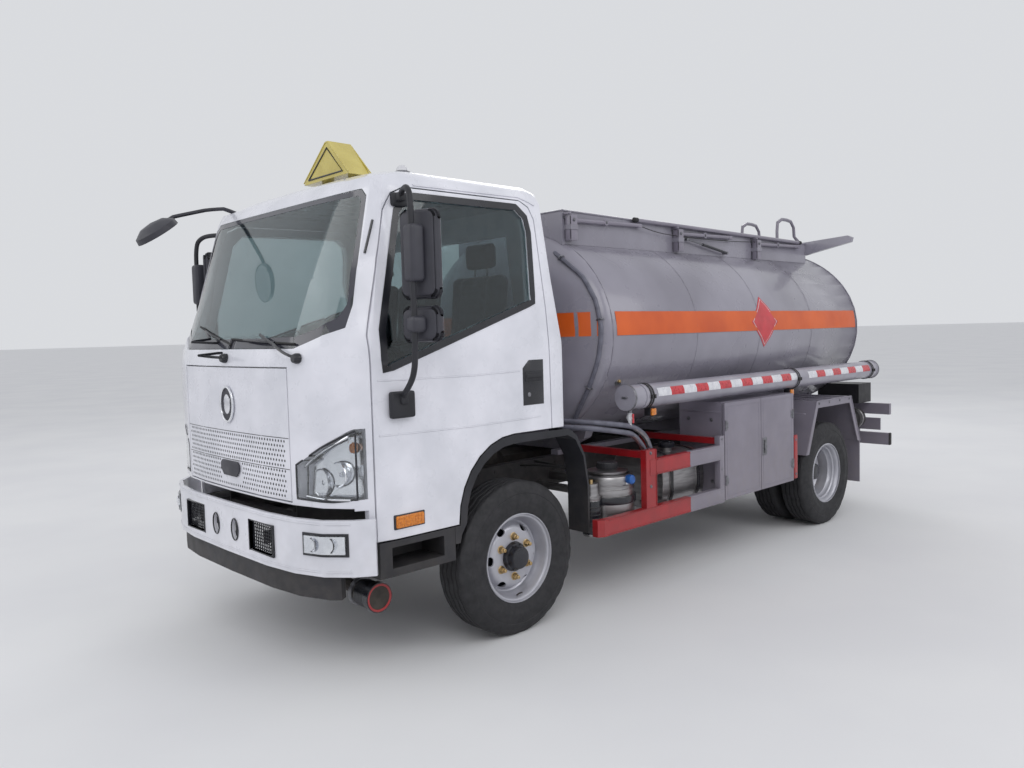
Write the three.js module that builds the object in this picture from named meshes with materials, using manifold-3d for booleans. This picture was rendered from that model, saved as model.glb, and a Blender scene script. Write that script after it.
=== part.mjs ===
// A light two-axle fuel tanker with a tilting cab, in millimetres.
// Working frame: x = 0 on the centre line (+X the truck's left), front at -Y with y = 0 at the front
// axle, z = 0 on the road. The exported group shifts it so that the middle of its length is at y = 0.
import * as THREE from "three";
import { mergeVertices } from "three/addons/utils/BufferGeometryUtils.js";
import Module from "manifold-3d";

const wasm = await Module();
wasm.setup();

// ---- Driving dimensions -------------------------------------------------------------------------
const WHEELBASE = 3300;
const AXLE_Z = 402; // loaded tyre radius
const TYRE_SEGMENTS = 28;
const TYRE_RADIUS = AXLE_Z / Math.cos(Math.PI / TYRE_SEGMENTS);
const TYRE = { radius: TYRE_RADIUS, half: 107, flange: 228, segments: TYRE_SEGMENTS };
const FRONT_WHEEL_X = 847;
const REAR_WHEEL_X = { outer: 923, inner: 678, disc: 800 };
const KINGPIN_X = 690;

const RAIL = { outer: 375, inner: 310, low: 600, high: 780, front: -960, rear: 4400, wall: 8 };

const CAB = { half: 940, front: -1115, rear: 392, sill: 652, waist: 1450, shoulder: 2260, roof: 2392 };
const CAB_WALL = 50;
const DOOR_WALL = 56;
const DOOR_GAP = 6;
const FLOOR = { low: 840, high: 1092, step: -520, skin: 28 };
const ARCH = { y: -20, z: 652, a: 383, b: 405, top: 1057 };
const PANEL = { half: 565, low: 827, high: 1440, thick: 30 };

const TANK = { a: 867, b: 700, z: 1545, front: 870, rear: 4200, dish: 175 };
const COAMING = { half: 500, front: 853, rear: 3985, low: 2060, topFront: 2324, topRear: 2284, wall: 6 };
const SIDE = { x: 1040 };
const TOOLBOX = { front: 1799, rear: 2726, low: 424, high: 1078, inner: 684, sheet: 12, door: 18 };
const HOSE = { radius: 72, x: 962, z: 1176, front: 861, rear: 4235 };
const FENDER = { inner: 545, sheet: 8 };
const POST = { ys: [905, 2037, 3110], zs: [2262, 2248, 2234], x: 526, length: 690, radius: 14, rise: 14 };
const RAIL_LIFT = 34; // of the handrail above its folded posts
const GAP = 0.3; // between pieces that rest on each other

// ---- Shape helpers ------------------------------------------------------------------------------
function solid(geometry) {
  const plain = geometry.index ? geometry.toNonIndexed() : geometry;
  const bare = new THREE.BufferGeometry().setAttribute("position", plain.getAttribute("position"));
  const merged = mergeVertices(bare, 1e-3);
  const index = merged.index.array;
  const kept = [];
  for (let i = 0; i < index.length; i += 3) {
    const [a, b, c] = [index[i], index[i + 1], index[i + 2]];
    if (a !== b && b !== c && a !== c) kept.push(a, b, c);
  }
  const vertProperties = merged.attributes.position.array;
  const build = (tris) =>
    new wasm.Manifold(new wasm.Mesh({ numProp: 3, vertProperties, triVerts: new Uint32Array(tris) }));
  const made = build(kept);
  return made.volume() > 0 ? made : build(kept.reverse());
}

const join = (...pieces) => pieces.flat().reduce((a, b) => a.add(b));
const cut = (piece, ...tools) => tools.flat().reduce((a, b) => a.subtract(b), piece);
const both = (...pieces) => pieces.flat().reduce((a, b) => a.intersect(b));

const AXES = {
  x: new THREE.Matrix4().makeBasis(vector(0, 1, 0), vector(0, 0, 1), vector(1, 0, 0)),
  y: new THREE.Matrix4().makeBasis(vector(1, 0, 0), vector(0, 0, 1), vector(0, -1, 0)),
  z: new THREE.Matrix4(),
};

function vector(x, y, z) {
  return new THREE.Vector3(x, y, z);
}

function box(x0, x1, y0, y1, z0, z1) {
  const geometry = new THREE.BoxGeometry(x1 - x0, y1 - y0, z1 - z0);
  return solid(geometry.translate((x0 + x1) / 2, (y0 + y1) / 2, (z0 + z1) / 2));
}

// An outline of [u, v] points, or a Shape, extruded along an axis from low to high.
// Along x the outline lies in y-z, along y in x-z, and along z in x-y.
function prism(axis, outline, low, high, steps = 1) {
  const shape = outline.isShape ? outline : new THREE.Shape(outline.map(([u, v]) => new THREE.Vector2(u, v)));
  const settings = { depth: high - low, steps, bevelEnabled: false, curveSegments: 12 };
  const geometry = new THREE.ExtrudeGeometry(shape, settings).applyMatrix4(AXES[axis]);
  const shift = { x: [low, 0, 0], y: [0, high, 0], z: [0, 0, low] }[axis];
  return solid(geometry.translate(...shift));
}

// A closed profile of [radius, along] points turned about an axis through the point at.
function turn(axis, profile, at, segments = 32) {
  const points = profile.map(([r, a]) => new THREE.Vector2(r, a));
  const geometry = new THREE.LatheGeometry(points, segments, Math.PI / segments);
  if (axis === "x") geometry.rotateZ(-Math.PI / 2);
  if (axis === "z") geometry.rotateX(Math.PI / 2);
  return solid(geometry.translate(...at));
}

function rod(axis, radius, low, high, at, segments = 20) {
  return turn(axis, [[0, low], [radius, low], [radius, high], [0, high]], at, segments);
}

// A round bar swept along points with softly rounded corners.
function tube(points, radius, sides = 8, steps = 24) {
  const path = new THREE.CatmullRomCurve3(points.map((p) => vector(...p)), false, "catmullrom", 0.12);
  const angles = Array.from({ length: sides }, (_, i) => (2 * Math.PI * i) / sides);
  const ring = angles.map((t) => new THREE.Vector2(radius * Math.cos(t), radius * Math.sin(t)));
  const settings = { steps, extrudePath: path, bevelEnabled: false };
  return solid(new THREE.ExtrudeGeometry(new THREE.Shape(ring), settings));
}

// Points of an ellipse's arc, from one angle to another in degrees.
function arc(u, v, a, b, from, to, count = 8) {
  return Array.from({ length: count + 1 }, (_, i) => {
    const t = THREE.MathUtils.degToRad(from + ((to - from) * i) / count);
    return [u + a * Math.cos(t), v + b * Math.sin(t)];
  });
}

// A closed outline moved inwards by a distance; a negative distance moves it outwards.
function inset(outline, distance) {
  const area = outline.reduce((sum, [u, v], i) => {
    const [p, q] = outline[(i + 1) % outline.length];
    return sum + u * q - p * v;
  }, 0);
  const side = Math.sign(area) * distance;
  const unit = ([u, v], [p, q]) => {
    const length = Math.hypot(p - u, q - v);
    return [(p - u) / length, (q - v) / length];
  };
  return outline.map((point, i) => {
    const before = unit(outline.at(i - 1), point);
    const after = unit(point, outline[(i + 1) % outline.length]);
    const turnBy = 1 + before[0] * after[0] + before[1] * after[1];
    const push = side / Math.max(turnBy, 0.3);
    return [point[0] - push * (before[1] + after[1]), point[1] + push * (before[0] + after[0])];
  });
}

const mirrored = (piece) => piece.mirror([1, 0, 0]);

// ---- Scene graph --------------------------------------------------------------------------------
const FINISH = {
  cabWhite: [0xe8e8ee, 0.3, 0.1],
  tankGrey: [0x8e8c96, 0.45, 0.1],
  guardGrey: [0x85838f, 0.5, 0.1],
  guardRed: [0x9a1218, 0.5, 0.1],
  black: [0x1b1c24, 0.7, 0],
  chassis: [0x202126, 0.65, 0.2],
  iron: [0x3a3a3e, 0.6, 0.6],
  silver: [0xa8a8b2, 0.35, 0.7],
  tyre: [0x17171a, 0.9, 0],
  glass: [0x40484c, 0.05, 0],
  lamp: [0xd8dce2, 0.1, 0.4],
  yellow: [0xd8b23c, 0.5, 0],
  seat: [0x55565c, 0.85, 0],
};

const truck = new THREE.Group();

function add(name, piece, finish) {
  const { vertProperties, triVerts } = piece.getMesh();
  const geometry = new THREE.BufferGeometry();
  geometry.setAttribute("position", new THREE.BufferAttribute(vertProperties, 3));
  geometry.setIndex(new THREE.BufferAttribute(triVerts, 1));
  const [color, roughness, metalness] = FINISH[finish];
  const mesh = new THREE.Mesh(geometry, new THREE.MeshStandardMaterial({ color, roughness, metalness }));
  mesh.name = name;
  truck.add(mesh);
}

function addPair(name, leftPiece, finish) {
  add(`left_${name}`, leftPiece, finish);
  add(`right_${name}`, mirrored(leftPiece), finish);
}

// ---- Chassis ------------------------------------------------------------------------------------
function rail() {
  const { outer, inner, low, high, wall, front, rear } = RAIL;
  const section = [
    [inner, low], [outer, low], [outer, high], [inner, high],
    [inner, high - wall], [outer - wall, high - wall], [outer - wall, low + wall], [inner, low + wall],
  ];
  return prism("y", section, front, rear);
}

function chassisFrame() {
  const reach = RAIL.outer - RAIL.wall + 2;
  const member = (y, depth, low, high) => box(-reach, reach, y, y + depth, low, high);
  const members = [
    member(RAIL.front + 4, 60, 612, 700),
    member(1200, 60, 602, 624),
    member(1900, 60, 650, 770),
    member(2700, 60, 640, 770),
    member(3760, 60, 640, 770),
  ];
  const bumperBracket = box(345, 374, -1128, RAIL.front + 30, 604, 662);
  const tiltLug = box(316, 372, -925, -885, 770, 804);
  const left = join(rail(), bumperBracket, tiltLug);
  return join(left, mirrored(left), members);
}

// A leaf pack: an arched band with its eyes' hangers reaching the rail above.
function leafSpring(x, y, half, low, rise, thick) {
  const width = 33;
  const curve = (t) => low + rise * t * t;
  const ts = [-1, -0.75, -0.5, -0.25, 0, 0.25, 0.5, 0.75, 1];
  const lower = ts.map((t) => [y + half * t, curve(t) + thick * 0.35 * t * t]);
  const upper = ts.map((t) => [y + half * t, curve(t) + thick]).reverse();
  return prism("x", [...lower, ...upper], x - width, x + width);
}

function frontAxle() {
  const beam = [
    [-640, 392], [-560, 392], [-470, 362], [470, 362], [560, 392], [640, 392],
    [640, 322], [540, 322], [450, 292], [-450, 292], [-540, 322], [-640, 322],
  ];
  const spring = leafSpring(342, 0, 620, 372, 170, 46);
  const pad = box(308, 376, -60, 60, 340, 380);
  const left = join(spring, pad);
  return join(prism("y", beam, -38, 38), left, mirrored(left));
}

function knuckle() {
  const post = rod("z", 30, -78, 78, [KINGPIN_X, 0, AXLE_Z], 16);
  const spindle = rod("x", 34, KINGPIN_X, 792, [0, 0, AXLE_Z], 16);
  const plate = turn("x", [[0, 728], [150, 728], [158, 736], [158, 742], [0, 742]], [0, 0, AXLE_Z], 28);
  const arm = box(KINGPIN_X - 8, KINGPIN_X + 24, 0, 150, 330, 356);
  return join(post, spindle, plate, arm);
}

function rearAxle() {
  const tubeHousing = rod("x", 62, -560, 560, [0, WHEELBASE, AXLE_Z], 20);
  const bowl = turn("y", [[0, -190], [90, -175], [165, -90], [185, 0], [165, 90], [90, 165], [0, 180]],
    [0, WHEELBASE, AXLE_Z], 20);
  const nose = rod("y", 62, -330, -100, [0, WHEELBASE, AXLE_Z], 16);
  const spring = leafSpring(342, WHEELBASE, 640, 452, 66, 60);
  const pad = box(308, 376, WHEELBASE - 70, WHEELBASE + 70, 440, 480);
  const left = join(spring, pad);
  return join(tubeHousing, bowl, nose, left, mirrored(left));
}

function engineBlock() {
  const engine = box(-265, 265, -440, 470, 500, 1030);
  const bellHousing = turn("y", [[0, 0], [215, 0], [190, 130], [135, 200], [0, 200]], [0, 465, 700], 20);
  const gearbox = box(-125, 125, 640, 1150, 590, 782);
  return join(engine, bellHousing, gearbox);
}

function propellerShaft() {
  const rear = WHEELBASE - 345;
  const front = 1165;
  const gearboxZ = 690;
  const drop = AXLE_Z - gearboxZ;
  const slope = Math.atan2(drop, rear - front);
  const length = Math.hypot(drop, rear - front);
  const joint = 60; // radius of the joint at each end
  const barrel = 38;
  const profile = [
    [0, 0], [joint, 0], [joint, 26], [barrel, 60], [barrel, length - 60], [joint, length - 26], [joint, length],
    [0, length],
  ];
  return turn("y", profile, [0, 0, 0], 16)
    .rotate([THREE.MathUtils.radToDeg(slope), 0, 0])
    .translate([0, front, gearboxZ]);
}

// ---- Wheels -------------------------------------------------------------------------------------
// The half of a tyre's section between its rim flanges, [radius, along], about its middle at x.
function tyreSection(x) {
  const { radius, half, flange } = TYRE;
  const points = [
    [flange, -94], [flange + 20, -90], [318, -half], [378, -half + 7], [radius, -78], [radius, 78],
    [378, half - 7], [318, half], [flange + 20, 90], [flange, 94],
  ];
  return points.map(([r, along]) => [r, x + along]);
}

// Tyre, rim, disc and hub turned as one body about the axle.
function frontWheel() {
  const x = FRONT_WHEEL_X;
  const back = [[0, x - 46], [80, x - 46], [84, x + 44], [150, x + 34], [178, x + 8], [178, x - 82]];
  const face = [
    [188, x + 88], [176, x + 26], [166, x + 50], [132, x + 66], [86, x + 66], [58, x + 108], [0, x + 112],
  ];
  return turn("x", [...back, ...tyreSection(x), ...face], [0, 0, AXLE_Z], TYRE.segments);
}

function rearWheels() {
  const { inner, outer, disc } = REAR_WHEEL_X;
  const back = [[0, 571], [150, 571], [150, disc - 70], [178, disc - 84], [178, inner - 82]];
  const between = [[186, inner + 90], [186, outer - 90]];
  const face = [
    [188, outer + 88], [176, outer + 20], [170, disc + 50], [132, disc + 14], [84, disc + 14], [80, 905],
    [0, 935],
  ];
  const profile = [...back, ...tyreSection(inner), ...between, ...tyreSection(outer), ...face];
  return turn("x", profile, [0, WHEELBASE, AXLE_Z], TYRE.segments);
}

// ---- Cab ----------------------------------------------------------------------------------------
function cabPlan() {
  const half = [[0, CAB.front], [330, -1108], [580, -1086], [760, -1036], [870, -960], [926, -866]];
  const side = [[CAB.half, -760], [CAB.half, 320], [925, 370], [885, CAB.rear]];
  const right = [...half, ...side];
  const left = right.slice(1).map(([x, y]) => [-x, y]).reverse();
  return [...right, ...left];
}

// How the cab's plan narrows and leans at each height: [z, width factor, front shift, rear shift].
const CAB_LEVELS = [
  [640, 1, 0, 0], [CAB.waist, 1, 0, 0], [1520, 0.998, 12, 0], [1880, 0.966, 168, -48],
  [CAB.shoulder, 0.93, 336, -84], [2315, 0.9, 372, -96], [2352, 0.84, 420, -130], [2380, 0.7, 520, -220],
  [CAB.roof, 0.3, 700, -420],
];

function cabBlock(wall, roofDrop = 0) {
  const plan = inset(cabPlan(), wall);
  const levels = CAB_LEVELS.filter(([z]) => z <= CAB.roof - roofDrop);
  const count = levels.length - 1;
  const shape = new THREE.Shape(plan.map(([x, y]) => new THREE.Vector2(x, y)));
  const geometry = new THREE.ExtrudeGeometry(shape, { depth: count, steps: count, bevelEnabled: false });
  const position = geometry.getAttribute("position");
  for (let i = 0; i < position.count; i++) {
    const [z, width, front, rear] = levels[Math.round(position.getZ(i))];
    const y = position.getY(i);
    const share = THREE.MathUtils.clamp((300 - y) / 1415, 0, 1) ** 3.3;
    const leant = y + share * front + (1 - share) * rear;
    const along = (y - CAB.front) / (CAB.rear - CAB.front);
    const shrunk = THREE.MathUtils.lerp(CAB.front + front, CAB.rear + rear, along);
    const crown = THREE.MathUtils.clamp((z - 2315) / 50, 0, 1); // the roof's corners round off above the gutter
    const lower = z > 2300 ? roofDrop : 0;
    position.setXYZ(i, position.getX(i) * width, THREE.MathUtils.lerp(leant, shrunk, crown), z - lower);
  }
  return solid(geometry);
}

const skin = cabBlock(0);
const lining = cabBlock(CAB_WALL, 40);

const archEdge = (grow = 0) => arc(ARCH.y, ARCH.z, ARCH.a + grow, ARCH.b + grow, 180, 90, 7);

const DOOR_OUTLINE = [
  [-866, CAB.sill], [-866, 1581], [-737, 2147], [-692, 2224], [-620, 2258], [120, 2262], [182, 2232],
  [216, 2170], [249, 1703], [260, ARCH.top], ...archEdge().reverse(),
];
const WINDOW_OUTLINE = [
  [-786, 1436], [-786, 1600], [-660, 2140], [-592, 2208], [84, 2214], [140, 2172], [158, 2100], [147, 1742],
];
const SCREEN_OUTLINE = [
  [-600, 1530], [600, 1530], [838, 1618], [852, 1720], [796, 2220], [756, 2256], [-756, 2256], [-796, 2220],
  [-852, 1720], [-838, 1618],
];
const REAR_WINDOW_OUTLINE = [[-620, 1560], [620, 1560], [600, 2120], [-600, 2120]];
const LAMP_OUTLINE = [[604, 842], [800, 838], [1000, 866], [1000, 1172], [880, 1166], [606, 996]];
const FRONT_LIMIT = -898; // the lamps end here on the cab's side

const PANEL_OUTLINE = [
  [-PANEL.half, PANEL.low], [PANEL.half, PANEL.low], [PANEL.half, PANEL.high], [-PANEL.half, PANEL.high],
];

// The part of a cross-section outside a wall depth on the left side, narrowing with the cab.
function leftZone(depth) {
  const inner = CAB_LEVELS.slice(0, 6).map(([z, width]) => [(CAB.half - depth) * width, z]);
  return prism("y", [[1200, 640], [1200, 2315], ...inner.reverse()], -1000, 500);
}

const shellOf = (thick) => cut(skin, cabBlock(thick));
const frontPart = (outline, limit) => prism("y", outline, -1400, limit);

function cabUnderside() {
  const centre = [
    [-1300, 500], [600, 500], [600, FLOOR.high - FLOOR.skin], [FLOOR.step + 26, FLOOR.high - FLOOR.skin],
    [FLOOR.step + 26, FLOOR.low - FLOOR.skin], [-1300, FLOOR.low - FLOOR.skin],
  ];
  const side = [
    [-1300, 500], [600, 500], [600, 1048], [300, ARCH.top], ...archEdge().reverse(), [-403, CAB.sill],
    [-895, CAB.sill], [-895, 800], [-1300, 800],
  ];
  return [prism("x", centre, -876, 876), prism("x", side, -1100, 1100)];
}

function cabShell() {
  const room = prism("x", [
    [-1300, FLOOR.low], [FLOOR.step, FLOOR.low], [FLOOR.step, FLOOR.high], [600, FLOOR.high], [600, 2500],
    [-1300, 2500],
  ], -1100, 1100);
  const doorway = both(prism("x", inset(DOOR_OUTLINE, -DOOR_GAP), 700, 1200), leftZone(DOOR_WALL + DOOR_GAP));
  const lampRecess = cut(frontPart(inset(LAMP_OUTLINE, -1), FRONT_LIMIT + 1), cabBlock(62));
  const panelRecess = cut(frontPart(inset(PANEL_OUTLINE, -DOOR_GAP), -700), cabBlock(PANEL.thick + DOOR_GAP));
  return cut(
    skin,
    both(lining, room),
    cabUnderside(),
    [doorway, mirrored(doorway)],
    frontPart(SCREEN_OUTLINE, -500),
    prism("y", REAR_WINDOW_OUTLINE, 200, 600),
    [lampRecess, mirrored(lampRecess), panelRecess],
  );
}

function glassPane(outline, axis, low, high) {
  return both(cut(cabBlock(10), cabBlock(18)), prism(axis, inset(outline, 0.5), low, high));
}

function door() {
  const hollow = prism("x", WINDOW_OUTLINE, 700, 1200);
  return cut(both(shellOf(DOOR_WALL), prism("x", DOOR_OUTLINE, 700, 1200), leftZone(DOOR_WALL)), hollow);
}

function mirrors() {
  const arm = tube([
    [884, -652, 2206], [980, -700, 2226], [1080, -750, 2212], [1122, -768, 2140], [1124, -770, 1900],
    [1122, -768, 1560], [1090, -760, 1400], [958, -734, 1290],
  ], 13, 6, 22);
  const topBracket = box(872, 904, -690, -620, 2170, 2224);
  const baseBracket = box(944, 972, -792, -668, 1208, 1322);
  const head = [[1000, -738], [1022, -768], [1150, -722], [1190, -668], [1188, -630], [1004, -706]];
  const bigMirror = prism("z", head, 1735, 2124);
  const smallMirror = prism("z", head, 1545, 1702);
  const clamps = [[1812, 2048], [1592, 1656]].map(([low, high]) => box(1092, 1156, -784, -712, low, high));
  return join(arm, topBracket, baseBracket, bigMirror, smallMirror, clamps);
}

// Round mirror on an arm from the roof's right front corner, ahead of the windscreen.
function blindSpotMirror() {
  const route = [
    [-740, -640, 2322], [-716, -760, 2350], [-690, -880, 2330], [-640, -1100, 2266], [-620, -1185, 2190],
  ];
  const arm = tube(route, 12, 6, 14);
  const head = turn("z", [[0, -14], [122, -14], [118, 16], [70, 46], [0, 56]], [0, 0, 0], 20)
    .rotate([35, 0, 0])
    .translate([-620, -1192, 2178]);
  const foot = box(-772, -708, -690, -600, 2290, 2338);
  return cut(join(arm, head, foot), skin, cabBlock(-GAP));
}

function dashboard() {
  const profile = [
    [-1100, 1180], [-900, 1120], [-760, 1150], [-700, 1300], [-735, 1440], [-860, 1500], [-1100, 1505],
  ];
  const board = both(cabBlock(CAB_WALL + 18), prism("x", profile, -850, 850));
  const column = tube([[480, -807, 1154], [480, -579, 1481]], 30, 8, 2);
  return join(board, column);
}

function steeringWheel() {
  const ring = solid(new THREE.TorusGeometry(205, 16, 6, 22));
  const hub = solid(new THREE.CylinderGeometry(55, 62, 34, 16).rotateX(Math.PI / 2));
  const spokes = [0, 120, 240].map((angle) => box(-18, 18, 20, 200, -9, 9).rotate([0, 0, angle]));
  return join(ring, hub, spokes).rotate([-35, 0, 0]).translate([480, -564, 1502]);
}

function seat(x0, x1) {
  const cushion = prism("x", [
    [-400, 1130], [120, 1130], [130, 1330], [80, 1352], [-370, 1372], [-422, 1340],
  ], x0, x1);
  const back = prism("x", [
    [80, 1300], [186, 1300], [232, 1900], [192, 1935], [152, 1915], [50, 1380],
  ], x0 + 12, x1 - 12);
  const base = box(x0 + 40, x1 - 40, -350, 90, FLOOR.high + GAP, 1140);
  const middle = (x0 + x1) / 2;
  const headrest = box(middle - 130, middle + 130, 160, 232, 1900, 2090);
  return join(cushion, back, base, headrest);
}

function frontPanel() {
  return both(shellOf(PANEL.thick), frontPart(PANEL_OUTLINE, -700));
}

function headlamp() {
  return both(shellOf(60), frontPart(LAMP_OUTLINE, FRONT_LIMIT), box(300, 1100, -1300, FRONT_LIMIT, 700, 1300));
}

function roofSign() {
  const face = [[-222, 2438], [236, 2438], [46, 2640], [18, 2640]];
  const board = prism("y", face, -505, -360);
  const feet = [-150, 120].map((x) => box(x, x + 30, -432, -372, 2360, 2442));
  return cut(join(board, feet), skin.translate([0, 0, GAP]));
}

// The space a steered front wheel sweeps, with a little room round it.
function steeringSweep() {
  const room = 9;
  const arm = FRONT_WHEEL_X - KINGPIN_X;
  const half = TYRE.half + room;
  const wheel = rod("x", TYRE.radius + room, arm - half, arm + half, [0, 0, AXLE_Z], TYRE.segments);
  const angles = [-36, -30, -24, -18, -12, -6, 0, 6, 12, 18, 24, 30, 36];
  return angles.map((angle) => wheel.rotate([0, 0, angle]).translate([KINGPIN_X, 0, 0]));
}

// Black plastic step and wheel-arch trim that tilts with the cab.
function archAndStep() {
  const top = 646;
  const step = cut(
    prism("z", [[735, -867], [941, -867], [941, -431], [790, -431], [735, -500]], 482, top),
    box(760, 1000, -800, -500, 520, top - 30),
  );
  const band = [
    [-431, 560], [-431, top], [-397, top], ...arc(ARCH.y, ARCH.z, 377, 399, 180, 90, 7), [392, 1041], [455, 1000],
    [522, 880], [552, 700], [552, 430], [538, 430], [538, 700], [508, 872], [445, 975], [385, 1005],
    ...arc(ARCH.y, ARCH.z, 335, 353, 90, 180, 7), [-390, 600], [-400, 560],
  ];
  const hanger = box(735, 765, -860, -560, 640, 810);
  const trim = join(step, prism("x", band, 790, 943), hanger);
  return cut(trim, skin.translate([0, 0, -GAP]), skin, steeringSweep());
}

// ---- Front end ----------------------------------------------------------------------------------
const bumperPlan = (drop) => {
  const right = [[0, -1160], [420, -1154], [640, -1128], [800, -1072], [905, -984], [962, -900]];
  const edge = right.map(([x, y]) => [x * (1 - drop / 962), y + drop]);
  const mirror = (points) => points.slice(1).map(([x, y]) => [-x, y]).reverse();
  return [...mirror(edge), ...edge];
};

function bumper() {
  const outer = bumperPlan(0);
  const inner = bumperPlan(16).reverse();
  const wall = prism("z", [...outer, ...inner], 514, 768);
  const ovals = [-107, 107].map((x) => {
    const hole = arc(x, 638, 34, 52, 0, 360, 16).slice(1);
    return prism("y", hole, -1300, -1000);
  });
  const grilles = [-1, 1].map((side) => {
    const xs = [262 * side, 488 * side].sort((a, b) => a - b);
    return prism("y", [[xs[0], 568], [xs[1], 568], [xs[1], 708], [xs[0], 708]], -1300, -1000);
  });
  const tabs = [-1, 1].map((side) => box(...[340 * side, 380 * side].sort((a, b) => a - b), -1150, -1130, 604, 662));
  return cut(join(wall, tabs), ovals, grilles, chassis);
}

function lowerBumper() {
  const right = [[0, -1138], [420, -1132], [640, -1106], [800, -1046], [840, -1010]];
  const inner = right.map(([x, y]) => [x * 0.965, y + 40]);
  const mirror = (points) => points.slice(1).map(([x, y]) => [-x, y]).reverse();
  const wall = prism("z", [...mirror(right), ...right, ...[...mirror(inner), ...inner].reverse()], 404, 513);
  const arm = box(330, 372, -1112, -900, 470, 513);
  const post = box(330, 372, -940, -900, 500, RAIL.low - GAP);
  const left = join(arm, post);
  return join(wall, left, mirrored(left));
}

function exhaust() {
  const route = [[60, -560, 470], [60, -700, 440], [120, -800, 420], [420, -820, 400], [700, -820, 372]];
  const pipe = tube(route, 30, 10, 26);
  const flange = turn("x", [[0, 690], [66, 690], [66, 712], [0, 712]], [0, -820, 372], 16);
  const arrestor = turn("x", [[0, 706], [52, 706], [62, 722], [62, 812], [70, 816], [70, 852], [0, 852]],
    [0, -820, 372], 20);
  return join(pipe, flange, arrestor);
}

// ---- Tank body ----------------------------------------------------------------------------------
function tankShell(grow = 0) {
  const { front, rear, dish, a, b, z } = TANK;
  const head = [[0, 0], [0.35, 0.05], [0.62, 0.17], [0.8, 0.36], [0.92, 0.6], [0.98, 0.82], [1, 1]];
  const nose = head.map(([r, t]) => [r, front - dish * (1 - t) - grow]);
  const tail = head.map(([r, t]) => [r, rear + dish * (1 - t) + grow]).reverse();
  return turn("y", [...nose, ...tail], [0, 0, 0], 40)
    .scale([a + grow, 1, b + grow])
    .translate([0, 0, z]);
}

// Hose from the walkway trough down the front head, clipped to it, ending open beside the frame.
const BREATHER_ROUTE = [
  [470, 812, 2062], [547, 786, 2022], [706, 804, 1896], [799, 808, 1749], [839, 808, 1577], [812, 804, 1400],
  [735, 804, 1231], [609, 828, 1059], [538, 850, 959], [470, 880, 840], [444, 904, 740], [440, 906, 620],
];

function breatherHose() {
  return cut(tube(BREATHER_ROUTE, 14, 8, 30), tankShell(GAP));
}

const MANHOLE = { y: 2420, radius: 250, high: 2286 };

function tank() {
  const cradle = [[-300, 800], [300, 800], [470, 880], [500, 990], [-500, 990], [-470, 880]];
  const ys = [1050, 2250, 3300, 4050];
  const sill = box(312, 373, 900, 4180, RAIL.high + GAP, 812);
  const saddles = ys.map((y) => prism("y", cradle, y, y + 60));
  const crossBars = ys.map((y) => box(-373, 373, y, y + 60, 790, 830));
  const neck = rod("z", MANHOLE.radius, 2200, MANHOLE.high, [0, MANHOLE.y, 0], 28);
  const band = box(-100, 100, 1100, 4000, 860, 900);
  return join(tankShell(), neck, saddles, crossBars, sill, mirrored(sill), cut(band, tankShell(-4)));
}

function coaming() {
  const { half, front, rear, low, topFront, topRear, wall } = COAMING;
  const profile = [[front, low], [rear, low], [rear, topRear], [front, topFront]];
  const outer = prism("x", profile, -half, half);
  const inner = box(-half + wall, half - wall, front + wall, rear - wall, low - 10, 2600);
  const wingFace = [
    [-905, 2262], [-half, 2184], [half, 2184], [905, 2262], [915, 2300], [880, 2318], [half, 2296], [-half, 2296],
    [-880, 2318], [-915, 2300],
  ];
  const wing = prism("y", wingFace, rear - 10, rear + 34);
  const bracket = (y, i) => box(half - 2, half + 56, y - 34, y + 34, POST.zs[i] - 60, POST.zs[i] - 30);
  const brackets = POST.ys.map(bracket);
  return cut(join(outer.subtract(inner), wing, brackets), tankShell(GAP));
}

function manholeLid() {
  const { y, radius, high } = MANHOLE;
  const plate = turn("z", [[0, 0], [radius - 10, 0], [radius - 10, 14], [radius - 40, 30], [0, 34]],
    [0, y, high + 5], 28);
  const hinge = box(-50, 50, y - radius - 24, y - radius + 30, high + 6, high + 24);
  return join(plate, hinge);
}

// Handrail folded down: each post lies back from its foot pivot, and the rail lies along their ends.
function handrailPost(y, z) {
  const { x, length, radius, rise } = POST;
  const barrel = rod("x", 20, x - 9, x + 9, [0, y, z], 12);
  return join(tube([[x, y, z], [x, y + length, z + rise]], radius, 8, 1), barrel);
}

function handrailRail() {
  const { x, length, ys, zs, radius, rise } = POST;
  const fall = (zs[0] - zs[2]) / (ys[2] - ys[0]);
  const point = (past) => [x, ys[0] + length + past, zs[0] + rise + RAIL_LIFT - fall * past];
  return tube([point(-60), point(ys[2] - ys[0] + 40)], radius, 8, 1);
}

function rearLadder() {
  const stile = (x) => tube([
    [x, 4408, 905], [x, 4412, 1500], [x, 4408, 2120], [x, 4300, 2330], [x, 4205, 2380], [x, 4190, 2490],
    [x, 4120, 2522], [x, 3960, 2522], [x, 3895, 2480], [x, 3895, 2330],
  ], 15, 6, 26);
  const rungs = Array.from({ length: 5 }, (_, i) => rod("x", 12, -70, 280, [0, 4410, 1010 + 270 * i], 6));
  return cut(join(stile(-70), stile(280), rungs), coamingSolid.translate([0, 0, GAP]), coamingSolid);
}

// ---- Sides --------------------------------------------------------------------------------------
function hoseTube() {
  const { radius, x, z, front, rear } = HOSE;
  const body = turn("y", [
    [0, front], [radius + 6, front], [radius + 6, front + 26], [radius, front + 30], [radius, rear - 30],
    [radius + 6, rear - 26], [radius + 6, rear], [0, rear],
  ], [x, 0, z], 18);
  const strap = (y) => turn("y", [[0, y], [radius + 4, y], [radius + 4, y + 40], [0, y + 40]], [x, 0, z], 18);
  const stay = (y) => box(800, x - 20, y, y + 40, z - 10, z + 10);
  const ys = [980, 2800, 4080];
  return cut(join(body, ys.map(strap), ys.map(stay)), tankShell(GAP));
}

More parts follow.
